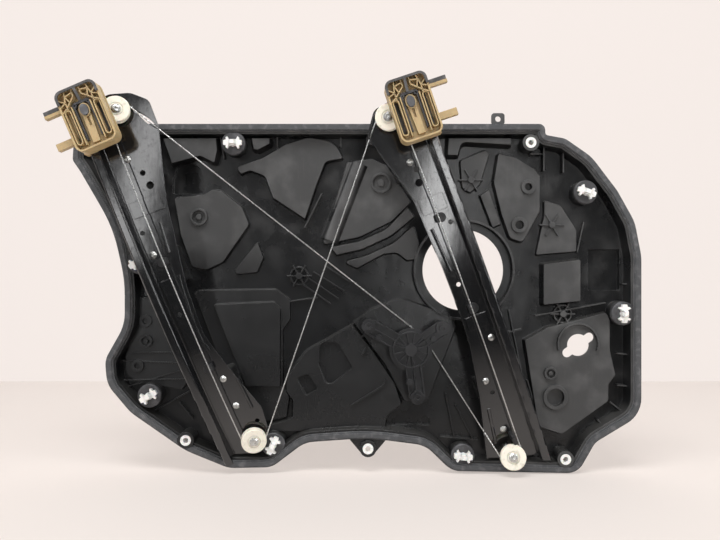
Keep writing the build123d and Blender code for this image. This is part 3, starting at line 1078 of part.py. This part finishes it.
def carrier_seal():
    """The rubber of a carrier: a lip over the top of the box, and the liners of the glass slot."""
    half_width, half_height = CARRIER_WIDTH / 2, CARRIER_HEIGHT / 2
    top = Pos(0, half_height) * Rectangle(CARRIER_WIDTH + 2, 34)
    lip = layer((shell_shape() - shell_shape(CELL_WALL + 1)) & top, RIM_FRONT + SEAT_GAP, RIM_FRONT + 1.6)
    lip += layer(wall_line(3.4, (0, half_height - 1.5), (1.5, 19)), RIM_FRONT + SEAT_GAP, RIM_FRONT + 1.6)
    liners = [layer(Pos(0, 3) * Rectangle(40, 56), low, low + LINER)
              for low in (SLOT_BACK + SEAT_GAP, SLOT_FRONT - LINER - SEAT_GAP)]
    prong = layer(Pos(-half_width - PRONG_REACH / 2, 26.2) * Rectangle(PRONG_REACH - 1, 5), CARRIER_BACK + 1, CARRIER_BACK + 7.5)
    return [lip, *liners, prong]


def carrier_clamp():
    """The dark inner clamp round the tongue."""
    frame = wall_line(1.8, (-9.6, -28), (-9.6, 14), (-6, 17)) + wall_line(1.8, (9.8, -28), (9.8, 14), (6.5, 17.6))
    frame += wall_line(1.8, (-8, 19), (9, 20.5))
    frame += wall_line(1.8, (-9.6, 12), (-11, 19)) + wall_line(1.8, (9.8, 12), (10.6, 19))
    plate = Pos(0, 19.3) * Rectangle(20, 3)
    sleeve = layer(frame + plate, FACE + SEAT_GAP, FACE + 6)
    return sleeve


def lock_button():
    bx, by = BUTTON_PLACE
    pressed_back = FACE + 0.5 + CLEARANCE
    return layer(Pos(bx, by) * Ellipse(5.0, 7.2), pressed_back + BUTTON_TRAVEL, RIM_FRONT - 0.8)


def shoe(mid_x, side):
    """The gliding shoe that runs on the rail's guide lip, bent like the rail."""
    gap = SHEET / 2 + CLEARANCE
    outer = Pos(side * (GUIDE_EDGE + 2.5), (CARRIER_BACK + 1 - 3.4) / 2) * Rectangle(15.4, CARRIER_BACK + 1 + 3.4)
    lip = Pos(side * (GUIDE_EDGE + 10 - gap), LIP_LIFT) * Rectangle(20, 2 * gap)
    hook = Pos(side * GUIDE_EDGE, 0.85) * Rectangle(2 * gap, 4.4)
    riser = Pos(side * (GUIDE_EDGE + 2.5 + 10 - 1.9), LIP_LIFT - 5.4) * Rectangle(9.2, 9)
    return bent(mid_x, outer - lip - hook - riser, SHOE_TOP, SHOE_FOOT)


def nipple_block(mid_x, side):
    """The open pocket that holds the two nipples of the cables."""
    block = Pos(0, (CARRIER_BACK + 1 - 0.5) / 2) * Rectangle(9, CARRIER_BACK + 1 + 0.5)
    return bent(mid_x, block - Circle(NIPPLE_RADIUS + SEAT_GAP), NIPPLE_TOP, NIPPLE_FOOT)


def nipples(mid_x):
    ring = Circle(NIPPLE_RADIUS) - Circle(CABLE_RADIUS + CLEARANCE)
    middle = (NIPPLE_TOP + NIPPLE_FOOT) / 2
    return [bent(mid_x, ring, NIPPLE_TOP + 0.5, middle - 0.5), bent(mid_x, ring, middle + 0.5, NIPPLE_FOOT - 0.5)]


for name, mid_x, side in (("left", LEFT_MID_X, 1), ("right", RIGHT_MID_X, -1)):
    frame = on_rail(mid_x, CARRIER_REST).location

    def placed(shape):
        local = Pos(-CARRIER_SHIFT, 0, 0) * Rot(0, 0, CARRIER_TURN) * shape
        return frame * (local if side > 0 else mirror(local, about=Plane.YZ))

    body = placed(carrier_cells()).fuse(*shoe(mid_x, side).solids(), *nipple_block(mid_x, side).solids())
    save(f"{name}_carrier", body)
    save(f"{name}_glass_pads", *[placed(piece) for piece in carrier_seal()])
    save(f"{name}_glass_clamp", placed(carrier_clamp()))
    save(f"{name}_lock_button", placed(lock_button()))
    save(f"{name}_cable_nipples", *nipples(mid_x))
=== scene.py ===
import math

import bmesh
import bpy
from mathutils import Matrix, Vector


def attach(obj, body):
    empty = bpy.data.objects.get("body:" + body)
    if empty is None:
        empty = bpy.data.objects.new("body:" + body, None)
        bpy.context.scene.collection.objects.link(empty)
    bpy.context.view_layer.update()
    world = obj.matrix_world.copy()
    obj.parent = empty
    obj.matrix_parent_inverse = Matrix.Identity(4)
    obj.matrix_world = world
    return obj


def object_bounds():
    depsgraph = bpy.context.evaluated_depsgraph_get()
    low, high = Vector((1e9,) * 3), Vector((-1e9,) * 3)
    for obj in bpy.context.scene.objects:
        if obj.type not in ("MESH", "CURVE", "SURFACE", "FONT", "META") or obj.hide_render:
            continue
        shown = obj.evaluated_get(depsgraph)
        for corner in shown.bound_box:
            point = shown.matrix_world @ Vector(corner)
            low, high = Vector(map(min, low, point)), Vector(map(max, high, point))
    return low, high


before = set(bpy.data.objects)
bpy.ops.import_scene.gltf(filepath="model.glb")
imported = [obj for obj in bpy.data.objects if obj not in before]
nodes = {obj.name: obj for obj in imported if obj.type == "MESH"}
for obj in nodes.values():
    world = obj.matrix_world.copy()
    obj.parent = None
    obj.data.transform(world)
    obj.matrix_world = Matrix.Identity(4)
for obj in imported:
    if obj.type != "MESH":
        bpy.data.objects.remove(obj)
cad_bounds = [list(corner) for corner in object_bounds()]

# ---------------------------------------------------------------- carrier panel
# The dished panel that carries the whole module. It is injection moulded in black long-fibre
# polypropylene: the raised fields come out of a grained tool face, and the walls and the floor between
# them are polished.


class Signal:
    """A value in a material, on which sums are written with the usual signs."""

    def __init__(self, socket):
        self.socket = socket

    def math(self, operation, *values):
        tree = self.socket.id_data
        return add_node(tree, "ShaderNodeMath", {"operation": operation}, dict(enumerate(values)))

    def __add__(self, other):
        return self.math("ADD", self, other)

    def __sub__(self, other):
        return self.math("SUBTRACT", self, other)

    def __rsub__(self, other):
        return self.math("SUBTRACT", other, self)

    def __mul__(self, other):
        return self.math("MULTIPLY", self, other)

    __radd__ = __add__
    __rmul__ = __mul__


def add_node(tree, kind, settings, sockets, output=0):
    """A node of any kind: its settings first, then the values or links of its sockets."""
    node = tree.nodes.new(kind)
    for name, value in settings.items():
        setattr(node, name, value)
    for name, value in sockets.items():
        if isinstance(value, Signal):
            tree.links.new(value.socket, node.inputs[name])
        else:
            node.inputs[name].default_value = value
    return Signal(node.outputs[output])


class Finish:
    """A material with the patterns that the finishes of this object are made of."""

    def __init__(self, name, **constants):
        self.material = bpy.data.materials.new(name)
        self.material.use_nodes = True
        self.tree = self.material.node_tree
        self.shader = self.tree.nodes["Principled BSDF"]
        for socket, value in constants.items():
            self.shader.inputs[socket.replace("_", " ")].default_value = value
        self.place = self.node("ShaderNodeTexCoord", {}, {}, "Object")
        self.facing = self.node("ShaderNodeTexCoord", {}, {}, "Normal")

    def node(self, kind, settings, sockets, output=0):
        return add_node(self.tree, kind, settings, sockets, output)

    def noise(self, scale, detail=3.0, stretch=(1, 1, 1)):
        """Soft blotches, scale to the metre, drawn out along the axes that stretch makes small."""
        where = self.node("ShaderNodeMapping", {}, {"Vector": self.place, "Scale": stretch})
        sockets = {"Vector": where, "Scale": scale, "Detail": detail}
        return self.node("ShaderNodeTexNoise", {}, sockets, "Fac")

    def ramp(self, value, low, high):
        """0 below low and 1 above high."""
        return self.node("ShaderNodeMapRange", {"interpolation_type": "SMOOTHSTEP"},
                         {"Value": value, "From Min": low, "From Max": high}, "Result")

    def axis(self, vector, letter):
        return self.node("ShaderNodeSeparateXYZ", {}, {"Vector": vector}, letter)

    def mix(self, share, low, high):
        """Colour low where share is 0, colour high where it is 1."""
        low, high = (c if isinstance(c, Signal) else (*c, 1) for c in (low, high))
        return self.node("ShaderNodeMix", {"data_type": "RGBA"}, {"Factor": share, 6: low, 7: high}, 2)

    def rounded(self, radius):
        """The surface's normal with its sharp edges rounded."""
        return self.node("ShaderNodeBevel", {"samples": 4}, {"Radius": radius})

    def bump(self, height, distance, strength=1.0, normal=None):
        sockets = {"Height": height, "Distance": distance, "Strength": strength}
        if normal:
            sockets["Normal"] = normal
        return self.node("ShaderNodeBump", {}, sockets)

    def feed(self, **signals):
        for socket, signal in signals.items():
            self.tree.links.new(signal.socket, self.shader.inputs[socket.replace("_", " ")])
        return self.material


def paint(material, *names):
    """Puts a finish on CAD nodes."""
    for name in names:
        slots = nodes[name].data.materials
        slots.clear()
        slots.append(material)


def black_moulding():
    """Black polypropylene: grained tops, greyer towards the top and the right of the panel and dusty
    there, over a deep floor kept dark as painted shade; glossier walls and floor, rounded tool edges, and
    upward faces painted lighter as a painted highlight.
    """
    finish = Finish("black_moulding", Specular_IOR_Level=0.5)
    right, depth, height = (finish.axis(finish.place, letter) for letter in "XYZ")
    outward = finish.axis(finish.facing, "Y")
    # Tops: shallow faces turned out of the panel. They are made lighter than the deep floor, partly for
    # their grain and dust and partly as painted light: a painted soft highlight on the tops and painted
    # shade on the floor.
    tops = finish.ramp(outward, -0.80, -0.96) * finish.ramp(depth, 0.0235, 0.0215)
    # A share that grows towards the top and the right of the panel: there the tops go greyer and the dust
    # shows.
    upper_right = finish.ramp(finish.ramp(height, 0.21, 0.31) + finish.ramp(right, 0.15, 0.26), 0.0, 1.0)
    cloudy = finish.noise(9.0, 4.0)
    dust = finish.ramp(finish.noise(34.0, 6.0), 0.40, 0.74)
    specks = finish.ramp(finish.noise(1100.0, 3.0), 0.60, 0.72)
    scuffs = finish.ramp(finish.noise(420.0, 2.0, (1, 1, 0.06)), 0.60, 0.74)
    # Faces turned upwards are painted lighter below: a painted highlight from the lamp above, mixed with
    # the real scuffs and specks.
    painted_top_light = finish.ramp(finish.axis(finish.facing, "Z"), 0.2, 0.9)
    # How far the colour goes from near black to grey: real dust, and the painted highlight on the tops
    # against the painted shade of the deep floor.
    dust_and_painted_light = tops * (0.10 + upper_right * (0.42 + dust * 0.42)) + (1 - tops) * upper_right * dust * 0.28
    base = finish.mix(dust_and_painted_light, (0.0060, 0.0062, 0.0068), (0.078, 0.078, 0.078))
    colour = finish.mix(painted_top_light * 0.30 + (scuffs * 0.10 + specks * 0.16) * (0.3 + upper_right * 0.7), base,
                        (0.105, 0.102, 0.097))
    roughness = 0.20 + tops * upper_right * 0.22 + cloudy * 0.16 + dust * 0.06
    grain = finish.noise(1500.0, 2.0) * (0.25 + tops * 0.75)
    ripple = finish.noise(26.0, 2.0)
    normal = finish.bump(ripple, 0.0015, 0.6, finish.bump(grain, 0.00006, 1.0, finish.rounded(0.0015)))
    return finish.feed(Base_Color=colour, Roughness=roughness, Normal=normal)


paint(black_moulding(), "carrier_panel")

# ---------------------------------------------------------------- perimeter seal
# The gasket that closes the panel against the wet side of the door. It is a strip of dark grey foamed
# rubber with closed cells, laid in one loop on the flange and pressed flat by the door skin.


def foam_rubber():
    finish = Finish("seal_foam", Specular_IOR_Level=0.35, Sheen_Weight=0.25, Sheen_Roughness=0.5)
    cells = finish.node("ShaderNodeTexVoronoi", {}, {"Vector": finish.place, "Scale": 1500.0}, "Distance")
    patches = finish.noise(38.0, 4.0)
    rubbed = finish.ramp(finish.noise(120.0, 5.0), 0.48, 0.70)
    colour = finish.mix(rubbed * 0.6, (0.060, 0.062, 0.066), (0.150, 0.150, 0.155))
    colour = finish.mix(finish.ramp(patches, 0.45, 0.75) * 0.35, colour, (0.032, 0.033, 0.036))
    roughness = 0.62 + patches * 0.22
    normal = finish.bump(cells, 0.00018, 0.8, finish.rounded(0.0012))
    return finish.feed(Base_Color=colour, Roughness=roughness, Normal=normal)


paint(foam_rubber(), "perimeter_seal")

# ---------------------------------------------------------------- fixing bushes and panel clips
# White nylon bushes that the fixing screws pass through, and white nylon clips pushed into round seats,
# which hold the door trim. Both are small injection mouldings, a little yellowed and soiled in their
# corners.


def white_nylon(name, colour, shade, gloss):
    finish = Finish(name, Subsurface_Weight=0.08, Subsurface_Scale=0.002)
    soil = finish.ramp(finish.noise(260.0, 5.0), 0.50, 0.72)
    tint = finish.mix(soil * 0.45, colour, shade)
    roughness = gloss + finish.noise(160.0, 3.0) * 0.18
    normal = finish.bump(finish.noise(900.0, 2.0), 0.00004, 1.0, finish.rounded(0.0005))
    return finish.feed(Base_Color=tint, Roughness=roughness, Normal=normal)


def black_nylon(name, colour, rough):
    finish = Finish(name, Specular_IOR_Level=0.5)
    dust = finish.ramp(finish.noise(95.0, 6.0), 0.48, 0.74)
    tint = finish.mix(dust * 0.4, colour, tuple(4.0 * c for c in colour))
    roughness = rough + finish.noise(48.0, 3.0) * 0.12 + dust * 0.10
    normal = finish.bump(finish.noise(1300.0, 2.0), 0.00004, 0.8, finish.rounded(0.0007))
    return finish.feed(Base_Color=tint, Roughness=roughness, Normal=normal)


clip_white = white_nylon("white_nylon", (0.80, 0.80, 0.78), (0.42, 0.41, 0.38), 0.34)
paint(clip_white, "fixing_bushes", "panel_clips", "cable_drum")

MERGE_WITHIN = 1e-6
CLIP_LOW, CLIP_HIGH, CLIP_TIP = -0.0035, 0.0020, 0.0050
PUCK_FRONT, PUCK_BACK = 0.0036, 0.0089
PUCK_RADIUS, PUCK_FACE_RADIUS, PUCK_CHAMFER, PUCK_STEPS = 0.0162, 0.0150, 0.0010, 40


def shape_piece(name, build, material, body):
    """A new piece from a function that fills a bmesh, riding on a body."""
    form = bmesh.new()
    build(form)
    bmesh.ops.remove_doubles(form, verts=form.verts, dist=MERGE_WITHIN)
    bmesh.ops.recalc_face_normals(form, faces=form.faces)
    mesh = bpy.data.meshes.new(name)
    form.to_mesh(mesh)
    form.free()
    mesh.materials.append(material)
    piece = bpy.data.objects.new(name, mesh)
    bpy.context.scene.collection.objects.link(piece)
    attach(piece, body)
    return piece


def prism(form, outline, low, high, place):
    """A closed outline raised from low to high, then placed."""
    floor = form.faces.new([form.verts.new((x, y, low)) for x, y in outline])
    raised = bmesh.ops.extrude_face_region(form, geom=[floor])
    top = [v for v in raised["geom"] if isinstance(v, bmesh.types.BMVert)]
    bmesh.ops.translate(form, verts=top, vec=(0, 0, high - low))
    bmesh.ops.transform(form, verts=[*floor.verts, *top], matrix=place)


def clip_places():
    """The middle of each clip and the turn of its long side, read from the CAD node's loose parts."""
    cad = nodes["panel_clips"]
    form = bmesh.new()
    form.from_mesh(cad.data)
    bmesh.ops.remove_doubles(form, verts=form.verts, dist=MERGE_WITHIN)
    bmesh.ops.transform(form, verts=form.verts, matrix=cad.matrix_world)
    unseen = set(form.verts)
    while unseen:
        shell, edge = set(), [unseen.pop()]
        while edge:
            vert = edge.pop()
            shell.add(vert)
            near = {link.other_vert(vert) for link in vert.link_edges} & unseen
            unseen -= near
            edge.extend(near)
        points = [v.co for v in shell]
        middle = Vector([(min(p[i] for p in points) + max(p[i] for p in points)) / 2 for i in range(3)])
        spread = [(p.x - middle.x, p.z - middle.z) for p in points if p.y < CLIP_TIP]
        turn = math.atan2(2 * sum(x * z for x, z in spread), sum(x * x - z * z for x, z in spread)) / 2
        yield (round(middle.x, 4), round(middle.z, 4)), turn
    form.free()


def barbed_cross(form, place):
    """The nose of a spring clip: a bar with two spread feet at each end, and a pocket in its middle."""
    quarter = [(0.0030, 0.0042), (0.0052, 0.0046), (0.0070, 0.0082), (0.0092, 0.0066), (0.0088, 0.0040),
               (0.0125, 0.0030), (0.0125, 0.0008)]
    top = quarter + [(x, -y) for x, y in quarter[::-1]]
    prism(form, top + [(-x, y) for x, y in top[::-1]], CLIP_LOW, CLIP_HIGH, place)
    for side in (1, -1):
        prism(form, [(-0.0040, side * 0.0026), (-0.0040, side * 0.0038), (0.0040, side * 0.0038),
                     (0.0040, side * 0.0026)], CLIP_HIGH - 0.0005, CLIP_TIP, place)
        prism(form, [(side * 0.0040, -0.0038), (side * 0.0028, -0.0038), (side * 0.0028, 0.0038),
                     (side * 0.0040, 0.0038)], CLIP_HIGH - 0.0005, CLIP_TIP, place)


def spring_clips(form):
    for (x, z), turn in sorted(clip_places()):
        turned = Matrix.Rotation(-turn, 4, "Y") @ Matrix.Rotation(math.pi / 2, 4, "X")
        barbed_cross(form, Matrix.Translation((x, 0, z)) @ turned)


def clip_pucks(form):
    """The round grey pad under each clip, with a chamfered rim."""
    for (x, z), _ in sorted(clip_places()):
        profile = [(0.0004, PUCK_FRONT), (PUCK_FACE_RADIUS, PUCK_FRONT),
                   (PUCK_RADIUS, PUCK_FRONT + PUCK_CHAMFER), (PUCK_RADIUS, PUCK_BACK)]
        points = [form.verts.new((x + radius, depth, z)) for radius, depth in profile]
        edges = [form.edges.new(pair) for pair in zip(points, points[1:])]
        bmesh.ops.spin(form, geom=points + edges, cent=(x, 0, z), axis=(0, 1, 0), angle=math.tau,
                       steps=PUCK_STEPS, use_merge=True)


pad_grey = black_nylon("pad_grey", (0.045, 0.045, 0.048), 0.42)
shape_piece("clip_pucks", clip_pucks, pad_grey, "module")
shape_piece("spring_clips", spring_clips, clip_white, "module")

# ---------------------------------------------------------------- rails
# Two bowed rails pressed from 1.5 mm steel sheet, degreased and dipped in black electrocoat. The coat
# is glossy, a little wavy over the press marks, and lightly dusted.


def rail_coat():
    finish = Finish("rail_coat", Specular_IOR_Level=0.62, Coat_Roughness=0.10, Coat_IOR=1.5)
    across = finish.noise(55.0, 3.0)
    drawn = finish.noise(240.0, 3.0, (1, 1, 0.12))
    dust = finish.ramp(finish.noise(210.0, 6.0), 0.55, 0.75)
    colour = finish.mix(dust * 0.22, (0.006, 0.0062, 0.0070), (0.050, 0.050, 0.051))
    roughness = 0.10 + across * 0.08 + dust * 0.12
    height = across * 0.8 + drawn * 0.2
    normal = finish.bump(height, 0.0008, 0.30, finish.rounded(0.0013))
    coat = 0.85 - dust * 0.4
    return finish.feed(Base_Color=colour, Roughness=roughness, Coat_Weight=coat, Normal=normal)


paint(rail_coat(), "left_rail", "right_rail")

# ---------------------------------------------------------------- rivets, axles, screws and bright steel
# Steel rivets set cold through the webs, shouldered pulley axles and thread-forming screws. All are
# turned or headed steel with a zinc plating that has gone a little dull.


def steel(name, colour, dull, rough, streaks=(1, 1, 1), radius=0.0004):
    """Bare or plated steel with fine streaks and duller stains."""
    finish = Finish(name, Metallic=1.0)
    stain = finish.ramp(finish.noise(300.0, 5.0), 0.45, 0.70)
    fine = finish.noise(1400.0, 2.0, streaks)
    tint = finish.mix(stain * 0.6, colour, dull)
    roughness = rough + stain * 0.16 + fine * 0.12
    normal = finish.bump(fine, 0.00003, 0.8, finish.rounded(radius))
    return finish.feed(Base_Color=tint, Roughness=roughness, Normal=normal)


paint(steel("bright_steel", (0.66, 0.66, 0.64), (0.40, 0.39, 0.37), 0.22), "rail_rivets", "pulley_axles",
      "cover_screws", "motor_screws", "left_cable_nipples", "right_cable_nipples")

# ---------------------------------------------------------------- cable guides and drum housing
# Saddles that keep the slack cable off the web, the hook that turns the right cable, and the round
# housing that the drum winds in. They are moulded in black nylon and acetal, smoother than the panel.

paint(black_nylon("black_gloss", (0.012, 0.012, 0.013), 0.24), "drum_housing", "housing_screws")
paint(black_nylon("black_nylon", (0.016, 0.016, 0.017), 0.34), "cable_guides", "connector_housing")

# ---------------------------------------------------------------- pulleys
# Four cream acetal pulleys, moulded with a flat face, a ring step round the bore and a groove for the
# cable. Each turns on its steel axle and has yellowed in blotches.


def cream_acetal():
    finish = Finish("pulley_acetal", Subsurface_Weight=0.12, Subsurface_Scale=0.003,
                    Specular_IOR_Level=0.55)
    stain = finish.ramp(finish.noise(170.0, 5.0), 0.50, 0.72)
    tint = finish.mix(stain * 0.5, (0.80, 0.765, 0.66), (0.50, 0.46, 0.37))
    roughness = 0.26 + finish.noise(210.0, 3.0) * 0.16 + stain * 0.10
    normal = finish.bump(finish.noise(800.0, 3.0), 0.00005, 1.0, finish.rounded(0.0006))
    return finish.feed(Base_Color=tint, Roughness=roughness, Normal=normal)


paint(cream_acetal(), "top_left_pulley", "top_right_pulley", "bottom_left_pulley", "bottom_right_pulley")

# ---------------------------------------------------------------- cables
# Three lengths of 1.7 mm steel wire rope, lightly oiled, and their last turns on the drum. Seen close,
# the lay of the wires makes a fine slanting pattern.


def wire_rope():
    finish = Finish("cable_steel", Metallic=1.0)
    lay = finish.node("ShaderNodeTexWave", {"bands_direction": "DIAGONAL"},
                      {"Vector": finish.place, "Scale": 330.0, "Distortion": 1.2, "Detail": 1.0}, "Fac")
    oil = finish.ramp(finish.noise(60.0, 4.0), 0.40, 0.70)
    tint = finish.mix(lay * 0.35 + oil * 0.25, (0.78, 0.78, 0.77), (0.36, 0.355, 0.345))
    roughness = 0.24 + oil * 0.12 + lay * 0.10
    return finish.feed(Base_Color=tint, Roughness=roughness, Normal=finish.bump(lay, 0.0002, 0.7))


paint(wire_rope(), "cable_upper", "cable_cross", "cable_lower", "drum_windings")

# ---------------------------------------------------------------- gearbox and motor
# The worm drive on the cabin side. The box and its cover are glass-filled nylon, and the wheel is
# natural acetal on a rubber damper. The motor is a drawn steel can round ferrite magnets and a copper-
# wound armature.

paint(black_nylon("gearbox_plastic", (0.028, 0.028, 0.030), 0.42), "gearbox_housing", "gearbox_cover")
paint(white_nylon("wheel_plastic", (0.72, 0.70, 0.60), (0.45, 0.42, 0.33), 0.34), "worm_wheel")
paint(steel("can_steel", (0.54, 0.54, 0.53), (0.36, 0.355, 0.34), 0.30, (1, 0.1, 0.1), 0.0012),
      "motor_can")
paint(steel("shaft_steel", (0.50, 0.50, 0.51), (0.34, 0.34, 0.34), 0.20, (1, 0.1, 0.1)),
      "output_shaft", "armature_shaft", "armature_core")
paint(steel("copper", (0.72, 0.36, 0.20), (0.50, 0.22, 0.10), 0.26), "armature_windings", "commutator")
paint(steel("bronze", (0.58, 0.40, 0.20), (0.40, 0.27, 0.13), 0.36), "armature_bearings")
paint(steel("pin_brass", (0.80, 0.66, 0.34), (0.60, 0.47, 0.22), 0.24), "connector_pins")
paint(black_nylon("magnet_grey", (0.060, 0.060, 0.062), 0.60), "motor_magnets")
paint(black_nylon("damper_rubber", (0.018, 0.018, 0.018), 0.62), "wheel_damper", "motor_seal")
paint(black_nylon("carbon", (0.020, 0.020, 0.021), 0.48), "carbon_brushes")
paint(black_nylon("dark_plastic", (0.040, 0.040, 0.043), 0.46), "brush_holder", "left_glass_clamp",
      "right_glass_clamp")

# ---------------------------------------------------------------- glass carriers
# The two carriers that grip the lower edge of the door glass. Each is moulded in tan acetal with open
# cells, has a soft grey lip moulded over its top edge, a dark clamp behind and an oval button that
# frees the glass.


def tan_acetal():
    finish = Finish("tan_acetal", Subsurface_Weight=0.06, Subsurface_Scale=0.002, Specular_IOR_Level=0.5)
    soil = finish.ramp(finish.noise(130.0, 6.0), 0.50, 0.74)
    flow = finish.noise(40.0, 3.0, (1, 1, 0.3))
    tint = finish.mix(flow * 0.5, (0.45, 0.335, 0.175), (0.37, 0.265, 0.130))
    tint = finish.mix(soil * 0.45, tint, (0.20, 0.15, 0.085))
    roughness = 0.34 + flow * 0.16 + soil * 0.16
    normal = finish.bump(finish.noise(1100.0, 2.0), 0.00004, 1.0, finish.rounded(0.0007))
    return finish.feed(Base_Color=tint, Roughness=roughness, Normal=normal)


carrier_tan = tan_acetal()
paint(carrier_tan, "left_carrier", "right_carrier")
paint(black_nylon("grey_rubber", (0.050, 0.048, 0.048), 0.56), "left_glass_pads", "right_glass_pads")
paint(black_nylon("button_grey", (0.075, 0.075, 0.080), 0.38), "left_lock_button", "right_lock_button")

ACROSS = Vector((0.93445, 0, 0.35609))
OUTWARD = Vector((-0.00760, -0.99977, 0.01994))
UPWARD = OUTWARD.cross(ACROSS)
SLOT_DEPTH, CELL_FLOOR, CELL_FRONT = 0.0157, 0.0207, 0.0292
CELL_TURN = math.radians(2.5)
HALF_WIDTH, HALF_HEIGHT = 0.0252, 0.0382
RIB_HALF, RIB_OVERLAP = 0.00068, 0.0004
SLOTS = {"left": Vector((-0.34449, -0.08176, 0.43087)), "right": Vector((0.05454, -0.08176, 0.44155))}


def truss_ribs(name, form):
    """The thin ribs that make the open cells in both top shoulders of a carrier."""
    hand = 1 if name == "left" else -1
    origin = SLOTS[name] - OUTWARD * SLOT_DEPTH
    frame_of_cells = Matrix((ACROSS, UPWARD, OUTWARD)).transposed().to_4x4()
    place = Matrix.Translation(origin) @ frame_of_cells @ Matrix.Diagonal((hand, 1, 1, 1))
    place = place @ Matrix.Rotation(CELL_TURN, 4, "Z")
    for side in (1, -1):
        edge = side * HALF_WIDTH
        lines = [
            [(edge, 0.012), (side * 0.0175, 0.017), (side * 0.005, 0.028), (side * 0.005, HALF_HEIGHT)],
            [(edge, 0.020), (side * 0.017, 0.0235), (side * 0.014, HALF_HEIGHT - 0.0008)],
            [(side * 0.017, 0.0148), (side * 0.017, 0.0235), (edge, 0.030)],
            [(side * 0.0115, 0.0222), (side * 0.015, 0.031), (side * 0.005, 0.033)],
            [(side * 0.0123, 0.016), (side * 0.0123, -0.033)],
        ]
        for line in lines:
            for start, end in zip(line, line[1:]):
                along = (Vector(end) - Vector(start)).normalized()
                aside = along.orthogonal() * RIB_HALF
                start = Vector(start) - along * RIB_OVERLAP
                end = Vector(end) + along * RIB_OVERLAP
                corners = [start - aside, start + aside, end + aside, end - aside]
                prism(form, corners, CELL_FLOOR, CELL_FRONT, place)


for name in ("left", "right"):
    shape_piece(f"{name}_truss_ribs", lambda form: truss_ribs(name, form), carrier_tan, f"{name}_carrier")

# ---------------------------------------------------------------- studio floor and wall
# A pale floor that the module stands on and a pale wall behind it. Both show their own colour to the
# camera and keep a soft shadow where the module stands.

FLOOR_Z = cad_bounds[0][2] - 0.0005
WALL_Y, REACH = 0.75, 4


def backdrop(name, colour, corners, shadow):
    """A flat sheet: part of its light is its own, and the rest comes from the lamps. Seen in reflections,
    a sheet is painted dark from 8 cm in front of the module forwards: a painted dark reflection, which
    only the floor reaches.
    """
    sheet = bmesh.new()
    sheet.faces.new([sheet.verts.new(corner) for corner in corners])
    mesh = bpy.data.meshes.new(name)
    sheet.to_mesh(mesh)
    sheet.free()
    thing = bpy.data.objects.new(name, mesh)
    bpy.context.scene.collection.objects.link(thing)
    material = bpy.data.materials.new(name)
    material.use_nodes = True
    tree = material.node_tree
    tree.nodes.remove(tree.nodes["Principled BSDF"])
    rays = ("Is Camera Ray", "Is Glossy Ray", "Is Transmission Ray")
    camera_ray, glossy_ray, through_ray = (add_node(tree, "ShaderNodeLightPath", {}, {}, ray)
                                           for ray in rays)
    where = add_node(tree, "ShaderNodeTexCoord", {}, {}, "Object")
    depth = add_node(tree, "ShaderNodeSeparateXYZ", {}, {"Vector": where}, "Y")
    # Painted dark reflection: glossy rays that meet the floor in front of the module see it dark grey
    # instead of its own colour.
    near = add_node(tree, "ShaderNodeMapRange", {},
                    {"Value": depth, "From Min": -0.08, "From Max": -0.40}, "Result")
    tint = add_node(tree, "ShaderNodeMix", {"data_type": "RGBA"},
                    {"Factor": glossy_ray * near, 6: (*colour, 1), 7: (0.06, 0.06, 0.06, 1)}, 2)
    seen = camera_ray * (1 - shadow) + (glossy_ray + through_ray) * 0.9
    lit = add_node(tree, "ShaderNodeBsdfDiffuse", {}, {"Color": tint})
    own = add_node(tree, "ShaderNodeEmission", {}, {"Color": tint, "Strength": 1.0})
    both = add_node(tree, "ShaderNodeMixShader", {}, {0: seen, 1: lit, 2: own})
    tree.links.new(both.socket, tree.nodes["Material Output"].inputs["Surface"])
    mesh.materials.append(material)


backdrop("floor", (0.79, 0.725, 0.685),
         [(-REACH, WALL_Y, FLOOR_Z), (-REACH, -REACH, FLOOR_Z), (REACH, -REACH, FLOOR_Z),
          (REACH, WALL_Y, FLOOR_Z)], 0.45)
backdrop("wall", (0.90, 0.825, 0.785),
         [(-REACH, WALL_Y, FLOOR_Z), (REACH, WALL_Y, FLOOR_Z), (REACH, WALL_Y, REACH),
          (-REACH, WALL_Y, REACH)], 0.10)

# ---------------------------------------------------------------- lamps and camera
# Soft boxes above and at both sides, a low even room light, and the camera in front of the wet side at
# the height of the rails' middle.

CENTRE = Vector((0.0, 0.0, 0.24))
CAMERA_PLACE = (-0.0109, -0.9, 0.2434)
SENSOR_WIDTH, FOCAL_LENGTH = 36.0, 33.1
ROOM_LIGHT = 0.16


def softbox(name, place, size, watts):
    lamp = bpy.data.lights.new(name, "AREA")
    lamp.shape = "RECTANGLE"
    lamp.size, lamp.size_y = size
    lamp.energy = watts
    thing = bpy.data.objects.new(name, lamp)
    thing.location = place
    thing.rotation_euler = (CENTRE - Vector(place)).to_track_quat("-Z", "Y").to_euler()
    bpy.context.scene.collection.objects.link(thing)


softbox("lamp_above", (-0.2, -0.9, 1.9), (1.3, 0.7), 34)
softbox("lamp_left", (-1.8, -1.0, 0.9), (0.6, 1.4), 15)
softbox("lamp_right", (1.8, -1.0, 0.9), (0.6, 1.4), 17)
softbox("lamp_behind", (0.4, 0.6, 1.9), (1.4, 0.6), 8)
softbox("strip_left", (-0.80, -1.7, 0.35), (0.14, 1.2), 2.2)
softbox("strip_right", (0.36, -1.7, 0.40), (0.16, 1.2), 4.0)

world = bpy.data.worlds.new("room")
world.use_nodes = True
world.node_tree.nodes["Background"].inputs["Color"].default_value = (0.95, 0.95, 0.95, 1)
world.node_tree.nodes["Background"].inputs["Strength"].default_value = ROOM_LIGHT
bpy.context.scene.world = world

lens = bpy.data.cameras.new("camera")
lens.sensor_width = SENSOR_WIDTH
lens.lens = FOCAL_LENGTH
camera = bpy.data.objects.new("camera", lens)
camera.location = CAMERA_PLACE
camera.rotation_euler = (math.radians(90), 0, 0)
bpy.context.scene.collection.objects.link(camera)
bpy.context.scene.camera = camera
bpy.context.scene.view_settings.view_transform = "Standard"
